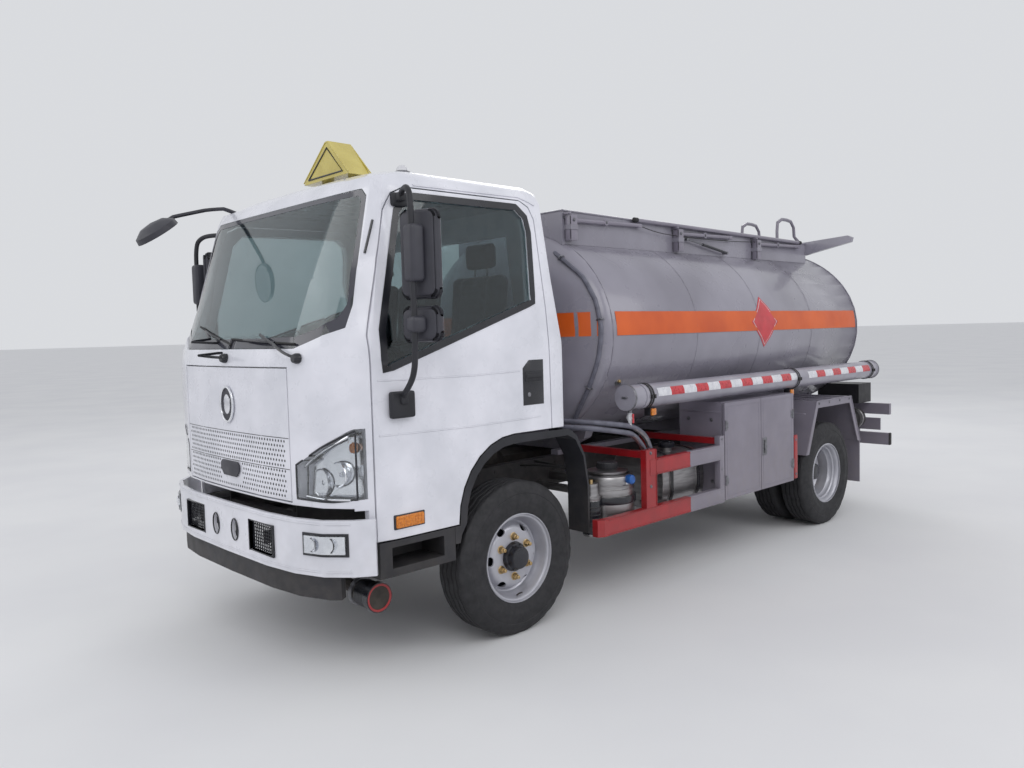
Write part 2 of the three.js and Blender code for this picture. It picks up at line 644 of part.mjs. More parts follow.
function toolbox() {
  const { front, rear, low, high, inner, sheet, door: doorThick } = TOOLBOX;
  const outer = box(inner, SIDE.x - doorThick - 6, front, rear, low, high);
  const room = box(inner + sheet, SIDE.x + 5, front + sheet, rear - sheet, low + sheet, high - sheet);
  const rim = 36;
  const frame = cut(
    box(SIDE.x - doorThick - 30, SIDE.x - doorThick - 6, front, rear, low, high),
    box(0, 2000, front + rim, rear - rim, low + rim, high - rim),
  );
  const hangers = [front + 120, rear - 170].map((y) => box(RAIL.outer + GAP, inner + 2, y, y + 50, 620, 740));
  return join(cut(outer, room), frame, hangers);
}

function toolboxDoor(front, rear) {
  const { low, high, door: thick } = TOOLBOX;
  return box(SIDE.x - thick, SIDE.x, front, rear, low + 4, high - 4);
}

function sideGuard() {
  const lower = prism("z", [
    [SIDE.x - 60, 530], [SIDE.x - 22, 530], [SIDE.x, 565], [SIDE.x, 1790], [SIDE.x - 40, 1790],
    [SIDE.x - 40, 580],
  ], 418, 514);
  const upper = box(SIDE.x - 36, SIDE.x, 990, 1790, 704, 800);
  const frontPost = box(SIDE.x - 40, SIDE.x - 2, 950, 1054, 480, 860);
  const rearPost = box(SIDE.x - 40, SIDE.x - 4, 1740, 1790, 480, 860);
  const arms = [980, 1745].map((y) => box(RAIL.outer + GAP, SIDE.x - 20, y, y + 36, 806, 846));
  const drop = [980, 1745].map((y) => box(RAIL.outer + GAP, RAIL.outer + 40, y, y + 36, 700, 846));
  return join(lower, upper, frontPost, rearPost, arms, drop);
}

function rearFender() {
  const top = 992;
  const [front, rear] = [2925, 3852];
  const crown = top - 16;
  const lift = FENDER.sheet;
  const sheet = [
    [front, 585], [3092, crown], [3682, crown], [rear, 600], [rear + lift, 600], [3686 + lift / 2, crown + lift],
    [3090, crown + lift], [front - lift, 588],
  ];
  const lipFace = [
    ...sheet.slice(4).reverse(), [rear, 600], [3810, 604], [3660, top - 60], [3112, top - 60], [2966, 588],
  ];
  const lip = prism("x", lipFace, SIDE.x - lift, SIDE.x);
  const flap = box(FENDER.inner + 10, SIDE.x - 6, rear + 2, rear + 12, 253, 640);
  const stay = box(RAIL.outer + GAP, FENDER.inner + 20, 3560, 3600, 700, 740);
  const riser = box(FENDER.inner + 1, FENDER.inner + 20, 3560, 3600, 700, top - 12);
  return join(prism("x", sheet, FENDER.inner, SIDE.x), lip, flap, stay, riser);
}

function rearUnderrun() {
  const beam = cut(box(-1058, 1058, 4404, 4440, 768, 864), box(-1050, 1050, 4412, 4500, 776, 856));
  const bar = box(-1056, 1056, 4402, 4440, 500, 604);
  const hangers = [-340, 300].map((x) => box(x, x + 40, 4402, 4425, 560, 800));
  const plates = [-980, 560].map((x) => box(x, x + 420, 4404, 4412, 628, 734));
  const arms = [-790, 750].map((x) => box(x, x + 40, 4404, 4430, 590, 780));
  return join(beam, bar, hangers, plates, arms);
}

function rearCabinet() {
  const cabinet = cut(box(528, 899, 4150, 4396, 880, 1048), tankShell(6));
  const drumProfile = [
    [0, 3905], [84, 3905], [84, 4150], [100, 4156], [100, 4190], [84, 4196], [84, 4300], [0, 4300],
  ];
  const drum = turn("y", drumProfile, [812, 0, 740], 20);
  const bracket = box(RAIL.outer + GAP, 740, 4160, 4210, 690, 780);
  const stand = box(620, 720, 4160, 4210, 690, 890);
  return join(cabinet, drum, bracket, stand);
}

// Two hoses from behind the engine, over the small tank and down to a coupling block behind the guard's post.
function greyHoses() {
  const lower = [
    [380, 640, 985], [620, 560, 1012], [850, 640, 1012], [950, 843, 976], [950, 945, 947], [950, 1021, 885],
    [950, 1059, 832], [950, 1072, 769], [950, 1072, 640], [950, 1072, 500],
  ];
  const upper = [
    [380, 700, 1015], [640, 615, 1044], [860, 690, 1040], [950, 844, 1017], [950, 966, 987], [950, 1061, 929],
    [950, 1109, 850], [950, 1132, 773], [950, 1130, 640], [950, 1130, 500],
  ];
  const block = box(928, 972, 1050, 1152, 470, 514);
  const link = box(850, 950, 1120, 1272, 484, 510);
  const clip = box(361, 399, 618, 722, 968, 1034);
  return join(tube(lower, 15, 8, 26), tube(upper, 15, 8, 26), block, link, clip);
}

function fuelTank() {
  const shape = arc(0, 0, 1, 1, 0, 360, 24).slice(1).map(([u, v]) => {
    const round = (t) => Math.sign(t) * Math.abs(t) ** 0.55;
    return [725 + 200 * round(u), 608 + 176 * round(v)];
  });
  const body = prism("y", shape, 1270, 1720);
  const neck = rod("z", 38, 770, 806, [800, 1480, 0], 16);
  const straps = [1340, 1630].map((y) => prism("y", inset(shape, -5), y, y + 36));
  const saddles = [1340, 1630].map((y) => box(RAIL.outer + GAP, 560, y, y + 36, 640, 700));
  return join(body, neck, straps, saddles, greyHoses());
}

function ureaTank() {
  const place = [825, 850, 0];
  const body = turn("z", [[0, 440], [150, 440], [160, 456], [160, 700], [150, 716], [0, 716]], place, 20);
  const lid = turn("z", [[0, 715], [120, 715], [126, 740], [60, 752], [60, 786], [0, 786]], place, 16);
  const strap = turn("z", [[0, 560], [166, 560], [166, 596], [0, 596]], place, 20);
  const bracket = box(RAIL.outer + GAP, 760, 810, 870, 640, 690);
  const drierProfile = [[0, 386], [48, 386], [54, 400], [54, 600], [42, 620], [42, 690], [0, 690]];
  const drier = turn("z", drierProfile, [868, 650, 0], 16);
  const drierArm = box(790, 880, 630, 760, 600, 624);
  const drierStay = box(RAIL.outer + GAP, 812, 700, 740, 600, 640);
  return join(body, lid, strap, bracket, drier, drierArm, drierStay);
}

function batteryBox() {
  const body = box(-1000, -640, 700, 1150, 430, 800);
  const bracket = box(-650, -RAIL.outer - GAP, 760, 830, 640, 700);
  const reservoirs = [560, 760].map((z) => rod("y", 92, 1240, 1700, [-700, 0, z - 20], 20));
  const arms = [520, 720].map((z) => box(-650, -RAIL.outer - GAP, 1400, 1450, z, z + 30));
  const link = box(-720, -680, 1100, 1300, 620, 660);
  return join(body, bracket, reservoirs, arms, link);
}

// ---- Assembly -----------------------------------------------------------------------------------
const chassis = chassisFrame();
const coamingSolid = coaming();

add("chassis_frame", chassis, "chassis");
add("front_axle", frontAxle(), "chassis");
add("rear_axle", rearAxle(), "chassis");
add("engine_block", engineBlock(), "iron");
add("propeller_shaft", propellerShaft(), "iron");
addPair("knuckle", knuckle(), "iron");

add("front_left_wheel", frontWheel(), "tyre");
add("front_right_wheel", mirrored(frontWheel()), "tyre");
add("rear_left_wheels", rearWheels(), "tyre");
add("rear_right_wheels", mirrored(rearWheels()), "tyre");

add("cab_shell", cabShell(), "cabWhite");
add("windscreen", glassPane(SCREEN_OUTLINE, "y", -1400, -500), "glass");
add("rear_window", glassPane(REAR_WINDOW_OUTLINE, "y", 200, 600), "glass");
addPair("door", door(), "cabWhite");
addPair("door_glass", glassPane(WINDOW_OUTLINE, "x", 700, 1200), "glass");
addPair("mirrors", cut(mirrors(), cabBlock(-GAP)), "black");
add("blind_spot_mirror", blindSpotMirror(), "black");
add("driver_seat", seat(236, 724), "seat");
add("passenger_seat", seat(-724, 130), "seat");
add("dashboard", dashboard(), "black");
add("steering_wheel", steeringWheel(), "black");
add("front_panel", frontPanel(), "cabWhite");
addPair("headlamp", headlamp(), "lamp");
add("roof_sign", roofSign(), "yellow");
addPair("arch_and_step", archAndStep(), "black");

add("front_bumper", bumper(), "cabWhite");
add("lower_bumper", lowerBumper(), "black");
add("exhaust", exhaust(), "iron");

add("tank", tank(), "tankGrey");
add("walkway_coaming", coamingSolid, "tankGrey");
add("breather_hose", cut(breatherHose(), coamingSolid.translate([0, 0, -GAP]), coamingSolid), "guardGrey");
add("manhole_lid", manholeLid(), "silver");
["front", "middle", "rear"].forEach((place, i) => {
  add(`handrail_${place}_post`, handrailPost(POST.ys[i], POST.zs[i]), "guardGrey");
});
add("handrail_rail", handrailRail(), "guardGrey");
add("rear_ladder", rearLadder(), "guardGrey");

addPair("hose_tube", hoseTube(), "guardGrey");
addPair("toolbox", toolbox(), "guardGrey");
const middle = (TOOLBOX.front + TOOLBOX.rear) / 2;
addPair("toolbox_front_door", toolboxDoor(TOOLBOX.front + 2, middle - 3), "guardGrey");
addPair("toolbox_rear_door", toolboxDoor(middle + 3, TOOLBOX.rear - 2), "guardGrey");
addPair("side_guard", sideGuard(), "guardRed");
addPair("rear_fender", rearFender(), "guardGrey");
add("rear_underrun", rearUnderrun(), "guardGrey");
add("rear_cabinet", rearCabinet(), "chassis");
add("fuel_tank", fuelTank(), "silver");
add("urea_tank", ureaTank(), "silver");
add("battery_box", batteryBox(), "black");

const bounds = new THREE.Box3().setFromObject(truck);
truck.position.y = -Math.round((bounds.min.y + bounds.max.y) / 2);

export default truck;
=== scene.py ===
from math import asin, copysign, cos, degrees, dist, exp, hypot, pi, radians, sin

import bmesh
import bpy
from mathutils import Matrix, Vector
from mathutils.bvhtree import BVHTree


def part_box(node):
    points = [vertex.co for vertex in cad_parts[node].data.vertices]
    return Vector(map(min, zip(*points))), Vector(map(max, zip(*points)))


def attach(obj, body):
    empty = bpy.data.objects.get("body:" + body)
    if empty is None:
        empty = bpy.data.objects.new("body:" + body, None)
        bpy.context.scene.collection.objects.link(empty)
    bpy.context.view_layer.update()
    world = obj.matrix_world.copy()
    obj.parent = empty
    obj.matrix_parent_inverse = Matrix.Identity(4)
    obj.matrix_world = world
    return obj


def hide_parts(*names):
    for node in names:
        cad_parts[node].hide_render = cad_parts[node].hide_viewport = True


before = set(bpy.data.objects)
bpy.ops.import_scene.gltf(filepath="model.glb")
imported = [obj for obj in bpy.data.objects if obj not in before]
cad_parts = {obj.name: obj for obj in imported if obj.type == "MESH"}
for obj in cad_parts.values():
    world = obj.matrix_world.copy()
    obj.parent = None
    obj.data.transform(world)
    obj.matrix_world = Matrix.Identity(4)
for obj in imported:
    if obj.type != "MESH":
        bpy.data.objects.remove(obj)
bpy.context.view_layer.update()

bl_info = {
    "name": "Tanker Truck Finishes", "version": (1, 0, 0), "blender": (4, 5, 0),
    "location": "View3D > Sidebar > Truck",
    "description": "Builds the finishes and small fittings of a tanker truck around its frame",
    "category": "Object",
}

MM = 0.001
_LOW, _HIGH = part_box("front_left_wheel")
AXLE_Y = (_LOW.y + _HIGH.y) / 2  # the front axle, which lengths along the truck are measured from
SIDES = {"left": 1, "right": -1}


# ---- Measures -----------------------------------------------------------------------------------
def at(x, y, z):
    """A point in the frame, from millimetres out from the middle, back from the front axle and up."""
    return Vector((x * MM, AXLE_Y + y * MM, z * MM))


def span(name):
    """The box of a frame part in the same millimetres: x0, x1, y0, y1, z0, z1."""
    low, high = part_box(name)
    return (low.x / MM, high.x / MM, (low.y - AXLE_Y) / MM, (high.y - AXLE_Y) / MM, low.z / MM, high.z / MM)


def local(point):
    """A point of the frame in the truck's millimetres."""
    return (point.x / MM, (point.y - AXLE_Y) / MM, point.z / MM)


def hits(names):
    """The surfaces of some frame parts, ready to be probed with a ray."""
    points, faces = [], []
    for name in names:
        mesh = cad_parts[name].data
        start = len(points)
        points.extend(v.co.copy() for v in mesh.vertices)
        faces.extend([start + i for i in p.vertices] for p in mesh.polygons)
    return BVHTree.FromPolygons(points, faces)


def lay(tree, start, way):
    """Where a ray meets a surface, and the way out of it there."""
    place, out, _, _ = tree.ray_cast(at(*start), Vector(way))
    if place is None:
        raise RuntimeError(f"nothing to lay a fitting on from {start}")
    return place, (-out if out.dot(Vector(way)) > 0 else out)


# ---- Colour and nodes ---------------------------------------------------------------------------
def linear(code):
    """The linear colour of an sRGB hex value."""
    parts = [int(code[i : i + 2], 16) / 255 for i in (1, 3, 5)]
    return (*[c / 12.92 if c <= 0.04045 else ((c + 0.055) / 1.055) ** 2.4 for c in parts], 1)


def node(tree, kind, links=None, **settings):
    """A new node with its settings, and its inputs set or linked."""
    made = tree.nodes.new(kind)
    for name, value in settings.items():
        setattr(made, name, value)
    for key, value in (links or {}).items():
        if isinstance(value, bpy.types.NodeSocket):
            tree.links.new(value, made.inputs[key])
        else:
            made.inputs[key].default_value = value
    return made


def blank(name):
    """An empty material with its shader, and the place on the piece in metres."""
    made = bpy.data.materials.new(name)
    made.use_nodes = True
    tree = made.node_tree
    tree.nodes.clear()
    shader = node(tree, "ShaderNodeBsdfPrincipled")
    node(tree, "ShaderNodeOutputMaterial", {"Surface": shader.outputs[0]})
    place = node(tree, "ShaderNodeTexCoord").outputs["Object"]
    return made, tree, shader, place


def mottled(tree, place, size_mm, low, high, detail=3, stretch=(1, 1, 1)):
    """A soft uneven share between two values, in patches of a real size."""
    scaled = node(tree, "ShaderNodeMapping", {"Vector": place, "Scale": stretch})
    noise = node(
        tree, "ShaderNodeTexNoise",
        {"Vector": scaled.outputs[0], "Scale": 1000 / size_mm, "Detail": detail, "Roughness": 0.55},
    )
    spread = node(
        tree, "ShaderNodeMapRange",
        {"Value": noise.outputs["Fac"], "From Min": 0.35, "From Max": 0.65, "To Min": low, "To Max": high},
    )
    return spread.outputs[0]


def blended(tree, share, first, second):
    """Two colours mixed by a share."""
    mix = node(tree, "ShaderNodeMix", data_type="RGBA")
    for key, value in ((0, share), (6, first), (7, second)):
        if isinstance(value, bpy.types.NodeSocket):
            tree.links.new(value, mix.inputs[key])
        else:
            mix.inputs[key].default_value = value
    return mix.outputs[2]


def finish(
    name, colour, shade, rough, spread=0.06, metal=0.0, ior=1.5, coat=0.0, coat_rough=0.06, patch=260,
    grain=0.9, depth=0.02, edge=3.0, dust=0.0, dust_top=0.9, scuff=None, stretch=(1, 1, 1),
):
    """A solid finish: colour patches, grain, softened edges, dust that thins upwards, and scuffed edges."""
    made, tree, shader, place = blank(name)
    colours = blended(tree, mottled(tree, place, patch, 0, 1, stretch=stretch), linear(colour), linear(shade))
    roughness = mottled(tree, place, patch * 0.4, rough - spread, rough + spread, 4, stretch)
    soft = node(tree, "ShaderNodeBevel", {"Radius": edge * MM}, samples=4) if edge else None
    if dust:
        height = node(tree, "ShaderNodeSeparateXYZ", {"Vector": place}).outputs["Z"]
        falls = node(
            tree, "ShaderNodeMapRange",
            {"Value": height, "From Min": 0.15, "From Max": dust_top, "To Min": dust, "To Max": dust * 0.06},
        ).outputs[0]
        broken = mottled(tree, place, 60, 0.35, 1.0, 6)
        share = node(tree, "ShaderNodeMath", {0: falls, 1: broken}, operation="MULTIPLY", use_clamp=True)
        colours = blended(tree, share.outputs[0], colours, linear("#8A8177"))
        rougher = node(
            tree, "ShaderNodeMath", {0: share.outputs[0], 1: 0.5, 2: roughness}, operation="MULTIPLY_ADD",
            use_clamp=True,
        )
        roughness = rougher.outputs[0]
    if scuff and edge:
        true = node(tree, "ShaderNodeNewGeometry").outputs["True Normal"]
        along = node(
            tree, "ShaderNodeVectorMath", {0: soft.outputs[0], 1: true}, operation="DOT_PRODUCT"
        ).outputs["Value"]
        worn = node(
            tree, "ShaderNodeMapRange", {"Value": along, "From Min": 0.995, "From Max": 0.93},
        ).outputs[0]
        chips = mottled(tree, place, 14, 0, 0.8, 6)
        both = node(tree, "ShaderNodeMath", {0: worn, 1: chips}, operation="MULTIPLY", use_clamp=True)
        colours = blended(tree, both.outputs[0], colours, linear(scuff))
    tree.links.new(colours, shader.inputs["Base Color"])
    tree.links.new(roughness, shader.inputs["Roughness"])
    fine = node(
        tree, "ShaderNodeTexNoise", {"Vector": place, "Scale": 1000 / grain, "Detail": 2, "Roughness": 0.5}
    )
    bump = node(
        tree, "ShaderNodeBump", {"Height": fine.outputs["Fac"], "Distance": depth * MM, "Strength": 1.0},
    )
    if soft:
        tree.links.new(soft.outputs[0], bump.inputs["Normal"])
    tree.links.new(bump.outputs[0], shader.inputs["Normal"])
    shader.inputs["Metallic"].default_value = metal
    shader.inputs["IOR"].default_value = ior
    shader.inputs["Coat Weight"].default_value = coat
    shader.inputs["Coat Roughness"].default_value = coat_rough
    return made


def clear(name, tint, shade, rough, ior, smear=0.05):
    """A see-through sheet with a faint film of dust on it."""
    made, tree, shader, place = blank(name)
    film = mottled(tree, place, 180, rough, rough + smear, 4)
    tree.links.new(film, shader.inputs["Roughness"])
    tints = blended(tree, mottled(tree, place, 420, 0, 1), linear(tint), linear(shade))
    tree.links.new(tints, shader.inputs["Base Color"])
    shader.inputs["Transmission Weight"].default_value = 1
    shader.inputs["IOR"].default_value = ior
    return made


FINISHES = {}


def make_finishes(sizes):
    """Every finish of the truck, by the name that the pieces ask for."""
    made = {
        # Sprayed acrylic enamel on pressed steel: cool white, glossy under a clear coat, faint orange peel.
        "cab": finish(
            "white_sprayed_enamel", sizes.cab_white, "#D3D4DC", 0.3, coat=0.6, grain=2.2, depth=0.012,
            edge=4, dust=0.22, dust_top=1.0,
        ),
        # Sprayed enamel over rolled sheet: grey with a mauve cast, satin, slightly wavy from the rolling.
        "tank": finish(
            "grey_enamel_on_rolled_sheet", sizes.tank_grey, "#7E7B86", 0.3, coat=0.45,
            coat_rough=0.12, patch=700, grain=160, depth=0.25, edge=4, dust=0.12, dust_top=1.4,
        ),
        # The same enamel on folded sheet: flatter and dustier, with rubbed edges.
        "guard": finish(
            "grey_enamel_on_folded_sheet", sizes.guard_grey, "#7A7582", 0.4, coat=0.25, coat_rough=0.2,
            patch=320, grain=1.6, dust=0.3, dust_top=1.1, scuff="#8D8994",
        ),
        # The same enamel on drawn pipe: paler and glossier than the folded sheet.
        "pipe": finish(
            "grey_enamel_on_drawn_pipe", "#9B99A4", "#8C8995", 0.34, coat=0.35, coat_rough=0.15,
            patch=240, grain=1.8, dust=0.2, dust_top=1.4,
        ),
        # Brush-coat enamel: deep red with a low gloss.
        "red": finish(
            "red_enamel", sizes.guard_red, "#8E0D17", 0.38, coat=0.3, coat_rough=0.15, patch=150,
            grain=1.4, dust=0.12, dust_top=1.0, scuff="#5A2A2C",
        ),
        # Printed vinyl film: orange, smooth, with a dull shine.
        "orange": finish(
            "orange_vinyl_film", sizes.stripe_orange, "#C24E17", 0.36, patch=420, grain=1.2,
            depth=0.006, edge=0, dust=0.05,
        ),
        # Chassis enamel: near black, hazed by road dust.
        "chassis": finish(
            "black_chassis_enamel", "#17171B", "#222126", 0.5, patch=120, grain=2.4, depth=0.06,
            dust=0.3, scuff="#3B3733",
        ),
        # Moulded polypropylene: black, even pebble grain, dull.
        "plastic": finish(
            "black_moulded_polypropylene", "#1A1B21", "#24252C", 0.55, ior=1.49, patch=200, grain=1.3,
            depth=0.09, dust=0.2,
        ),
        # Moulded ABS: charcoal with a softer grain.
        "housing": finish(
            "charcoal_moulded_abs", "#36363F", "#2E2E36", 0.48, ior=1.53, patch=160, grain=1.5, depth=0.07,
            edge=5, dust=0.05,
        ),
        # Cast iron: dark, rough from the sand mould, with a little oil and rust.
        "iron": finish(
            "sand_cast_iron", "#232224", "#2E2A28", 0.62, metal=0.6, patch=90, grain=2.8, depth=0.25,
            dust=0.3, dust_top=1.2,
        ),
        # Silver wheel lacquer on pressed steel.
        "wheel": finish(
            "silver_wheel_lacquer", "#B9B9C0", "#ADADB5", 0.4, metal=0.5, patch=160, grain=0.8, depth=0.012,
            edge=2, coat=0.3, coat_rough=0.2,
        ),
        # Vulcanised rubber: soft black, bloomed grey-brown where it is dusty.
        "tyre": finish(
            "vulcanised_tyre_rubber", "#1B1B1E", "#28272A", 0.7, ior=1.52, patch=55, grain=1.1, depth=0.08,
            edge=0,
        ),
        # Extruded rubber hose: grey, matt, with a fine length-wise bloom.
        "hose": finish(
            "grey_extruded_rubber", "#6B6B78", "#5A5A66", 0.5, ior=1.52, patch=45, grain=1.2, depth=0.03,
            edge=0, dust=0.1,
        ),
        # Sheet rubber: black, dull, hanging flaps and seals.
        "rubber": finish(
            "black_sheet_rubber", "#121214", "#1D1C1F", 0.62, ior=1.52, patch=80, grain=1.3, depth=0.06,
            edge=2, dust=0.25, dust_top=0.7,
        ),
        # Passivated zinc nuts: yellow-brown brass look with a dull shine.
        "brass": finish(
            "yellow_passivated_zinc", "#D3B98A", "#A98C5E", 0.36, metal=1.0, patch=12, grain=0.7, edge=1,
        ),
        # Vacuum-coated chrome on plastic: a mirror with a slightly soft image.
        "chrome": finish(
            "vacuum_coated_chrome", "#F0F1F4", "#E4E5EA", 0.16, spread=0.04, metal=1.0, patch=60, grain=3,
            depth=0.01, edge=1.5,
        ),
        # Rolled aluminium: pale grey with a brushed drag and soft shine.
        "aluminium": finish(
            "rolled_aluminium_sheet", "#A9A7A8", "#8C8A8B", 0.36, metal=1.0, patch=180, grain=0.9,
            dust=0.1, stretch=(1, 1, 9),
        ),
        # Galvanised steel: dull silver-grey, slightly mottled by its crystals.
        "zinc": finish(
            "galvanised_steel", "#8E8E93", "#747479", 0.42, metal=0.9, patch=22, grain=2.0, depth=0.03,
            edge=2, dust=0.1,
        ),
        # Silvered glass: the mirror faces.
        "mirror": finish(
            "silvered_mirror_glass", "#D7DADD", "#CDD1D4", 0.04, spread=0.02, metal=1.0, patch=240, grain=8,
            depth=0.002, edge=0,
        ),
        # Moulded acrylic lenses: amber and red, glossy, lightly crazed.
        "amber": finish(
            "amber_moulded_acrylic", "#E0861B", "#B9650F", 0.18, ior=1.49, coat=0.6, patch=9, grain=4,
            depth=0.25, edge=2,
        ),
        "ruby": finish(
            "red_moulded_acrylic", "#B3131A", "#7F0C12", 0.18, ior=1.49, coat=0.6, patch=9, grain=4,
            depth=0.25, edge=2,
        ),
        # Moulded lamp plastic: yellow, slightly translucent to the eye.
        "yellow": finish(
            "yellow_moulded_acrylic", "#CBBB5E", "#BDAC50", 0.3, ior=1.49, coat=0.5, patch=150, grain=2,
        ),
        # Retroreflective tape: white and red squares with a fine cell pattern.
        "tape_white": finish(
            "white_reflective_tape", "#DCDCE0", "#C7C7CE", 0.3, coat=0.5, patch=30, grain=5,
            depth=0.06, edge=0,
        ),
        "tape_red": finish(
            "red_reflective_tape", "#C8202C", "#A81420", 0.3, coat=0.5, patch=30, grain=5,
            depth=0.06, edge=0,
        ),
        # Printed sheet: the placard's plain red, slightly faded.
        "placard": finish(
            "red_printed_sheet", "#C9303A", "#B42831", 0.35, coat=0.3, coat_rough=0.15, patch=120,
            grain=1.2, depth=0.006, edge=0, dust=0.05,
        ),
        # Small coloured mouldings.
        "blue": finish("blue_moulded_cap", "#1F5FAE", "#184C8E", 0.4, patch=20, grain=1, depth=0.04),
        "nylon": finish(
            "white_moulded_nylon", "#D9D9DC", "#C5C5CA", 0.42, ior=1.53, patch=20, grain=1, depth=0.04,
        ),
        # Baked black border print on glass.
        "border": finish(
            "black_glass_border_print", "#3B3B46", "#32323C", 0.2, coat=0.5, patch=300, grain=1.0,
            depth=0.004, edge=0,
        ),
        "trim": finish(
            "black_sprayed_trim", "#14151C", "#1D1E26", 0.3, coat=0.3, patch=200, grain=1.2,
            depth=0.01, edge=2,
        ),
        # Toughened glass: a cool tint, with a film of dust.
        "glass": clear("tinted_toughened_glass", "#B4C2C4", "#A9B9BB", 0.0, 1.5, 0.03),
        # Moulded polycarbonate: the clear lamp lenses.
        "lens": clear("clear_moulded_polycarbonate", "#F6F8F9", "#EEF1F2", 0.0, 1.58, 0.02),
        "fabric": woven("woven_seat_cloth", "#3E4048", "#2B2D34", 3.0),
        "trim_grey": finish(
            "grey_moulded_interior", "#5C5D62", "#525358", 0.6, patch=150, grain=1.6, depth=0.08, edge=4,
        ),
    }
    FINISHES.update(made)


def woven(name, colour, shade, thread_mm):
    """Woven cloth: crossing threads, drawn coarser than life so they show, with a soft sheen."""
    made, tree, shader, place = blank(name)
    waves = []
    for direction in ("X", "Y", "Z"):
        wave = node(
            tree, "ShaderNodeTexWave",
            {"Vector": place, "Scale": 1000 / thread_mm / 6.28, "Distortion": 0.6, "Detail": 1.0},
            wave_type="BANDS", bands_direction=direction,
        )
        waves.append(wave.outputs["Fac"])
    crossed = node(tree, "ShaderNodeMath", {0: waves[0], 1: waves[1]}, operation="MULTIPLY").outputs[0]
    cloth = node(tree, "ShaderNodeMath", {0: crossed, 1: waves[2]}, operation="ADD").outputs[0]
    shades = mottled(tree, place, 35, 0, 1)
    base = blended(tree, shades, linear(colour), linear(shade))
    dark = node(tree, "ShaderNodeMath", {0: cloth, 1: 0.45}, operation="MULTIPLY", use_clamp=True).outputs[0]
    tree.links.new(blended(tree, dark, base, linear("#5A5D66")), shader.inputs["Base Color"])
    bump = node(tree, "ShaderNodeBump", {"Height": cloth, "Distance": 0.4 * MM, "Strength": 0.8})
    tree.links.new(bump.outputs[0], shader.inputs["Normal"])
    tree.links.new(mottled(tree, place, 60, 0.75, 0.9), shader.inputs["Roughness"])
    shader.inputs["Sheen Weight"].default_value = 0.35
    return made


# ---- Building shapes ----------------------------------------------------------------------------
def shown(name, mesh, *finishes):
    """An object in the scene with its finishes, from a mesh that has been built up."""
    data = bpy.data.meshes.new(name)
    mesh.to_mesh(data)
    mesh.free()
    for used in finishes:
        data.materials.append(FINISHES[used])
    made = bpy.data.objects.new(name, data)
    bpy.context.scene.collection.objects.link(made)
    return made


def around(count, start=0):
    """The cosine and sine of even steps round a circle, from a starting angle."""
    turns = [radians(start + 360 * i / count) for i in range(count)]
    return [(cos(t), sin(t)) for t in turns]


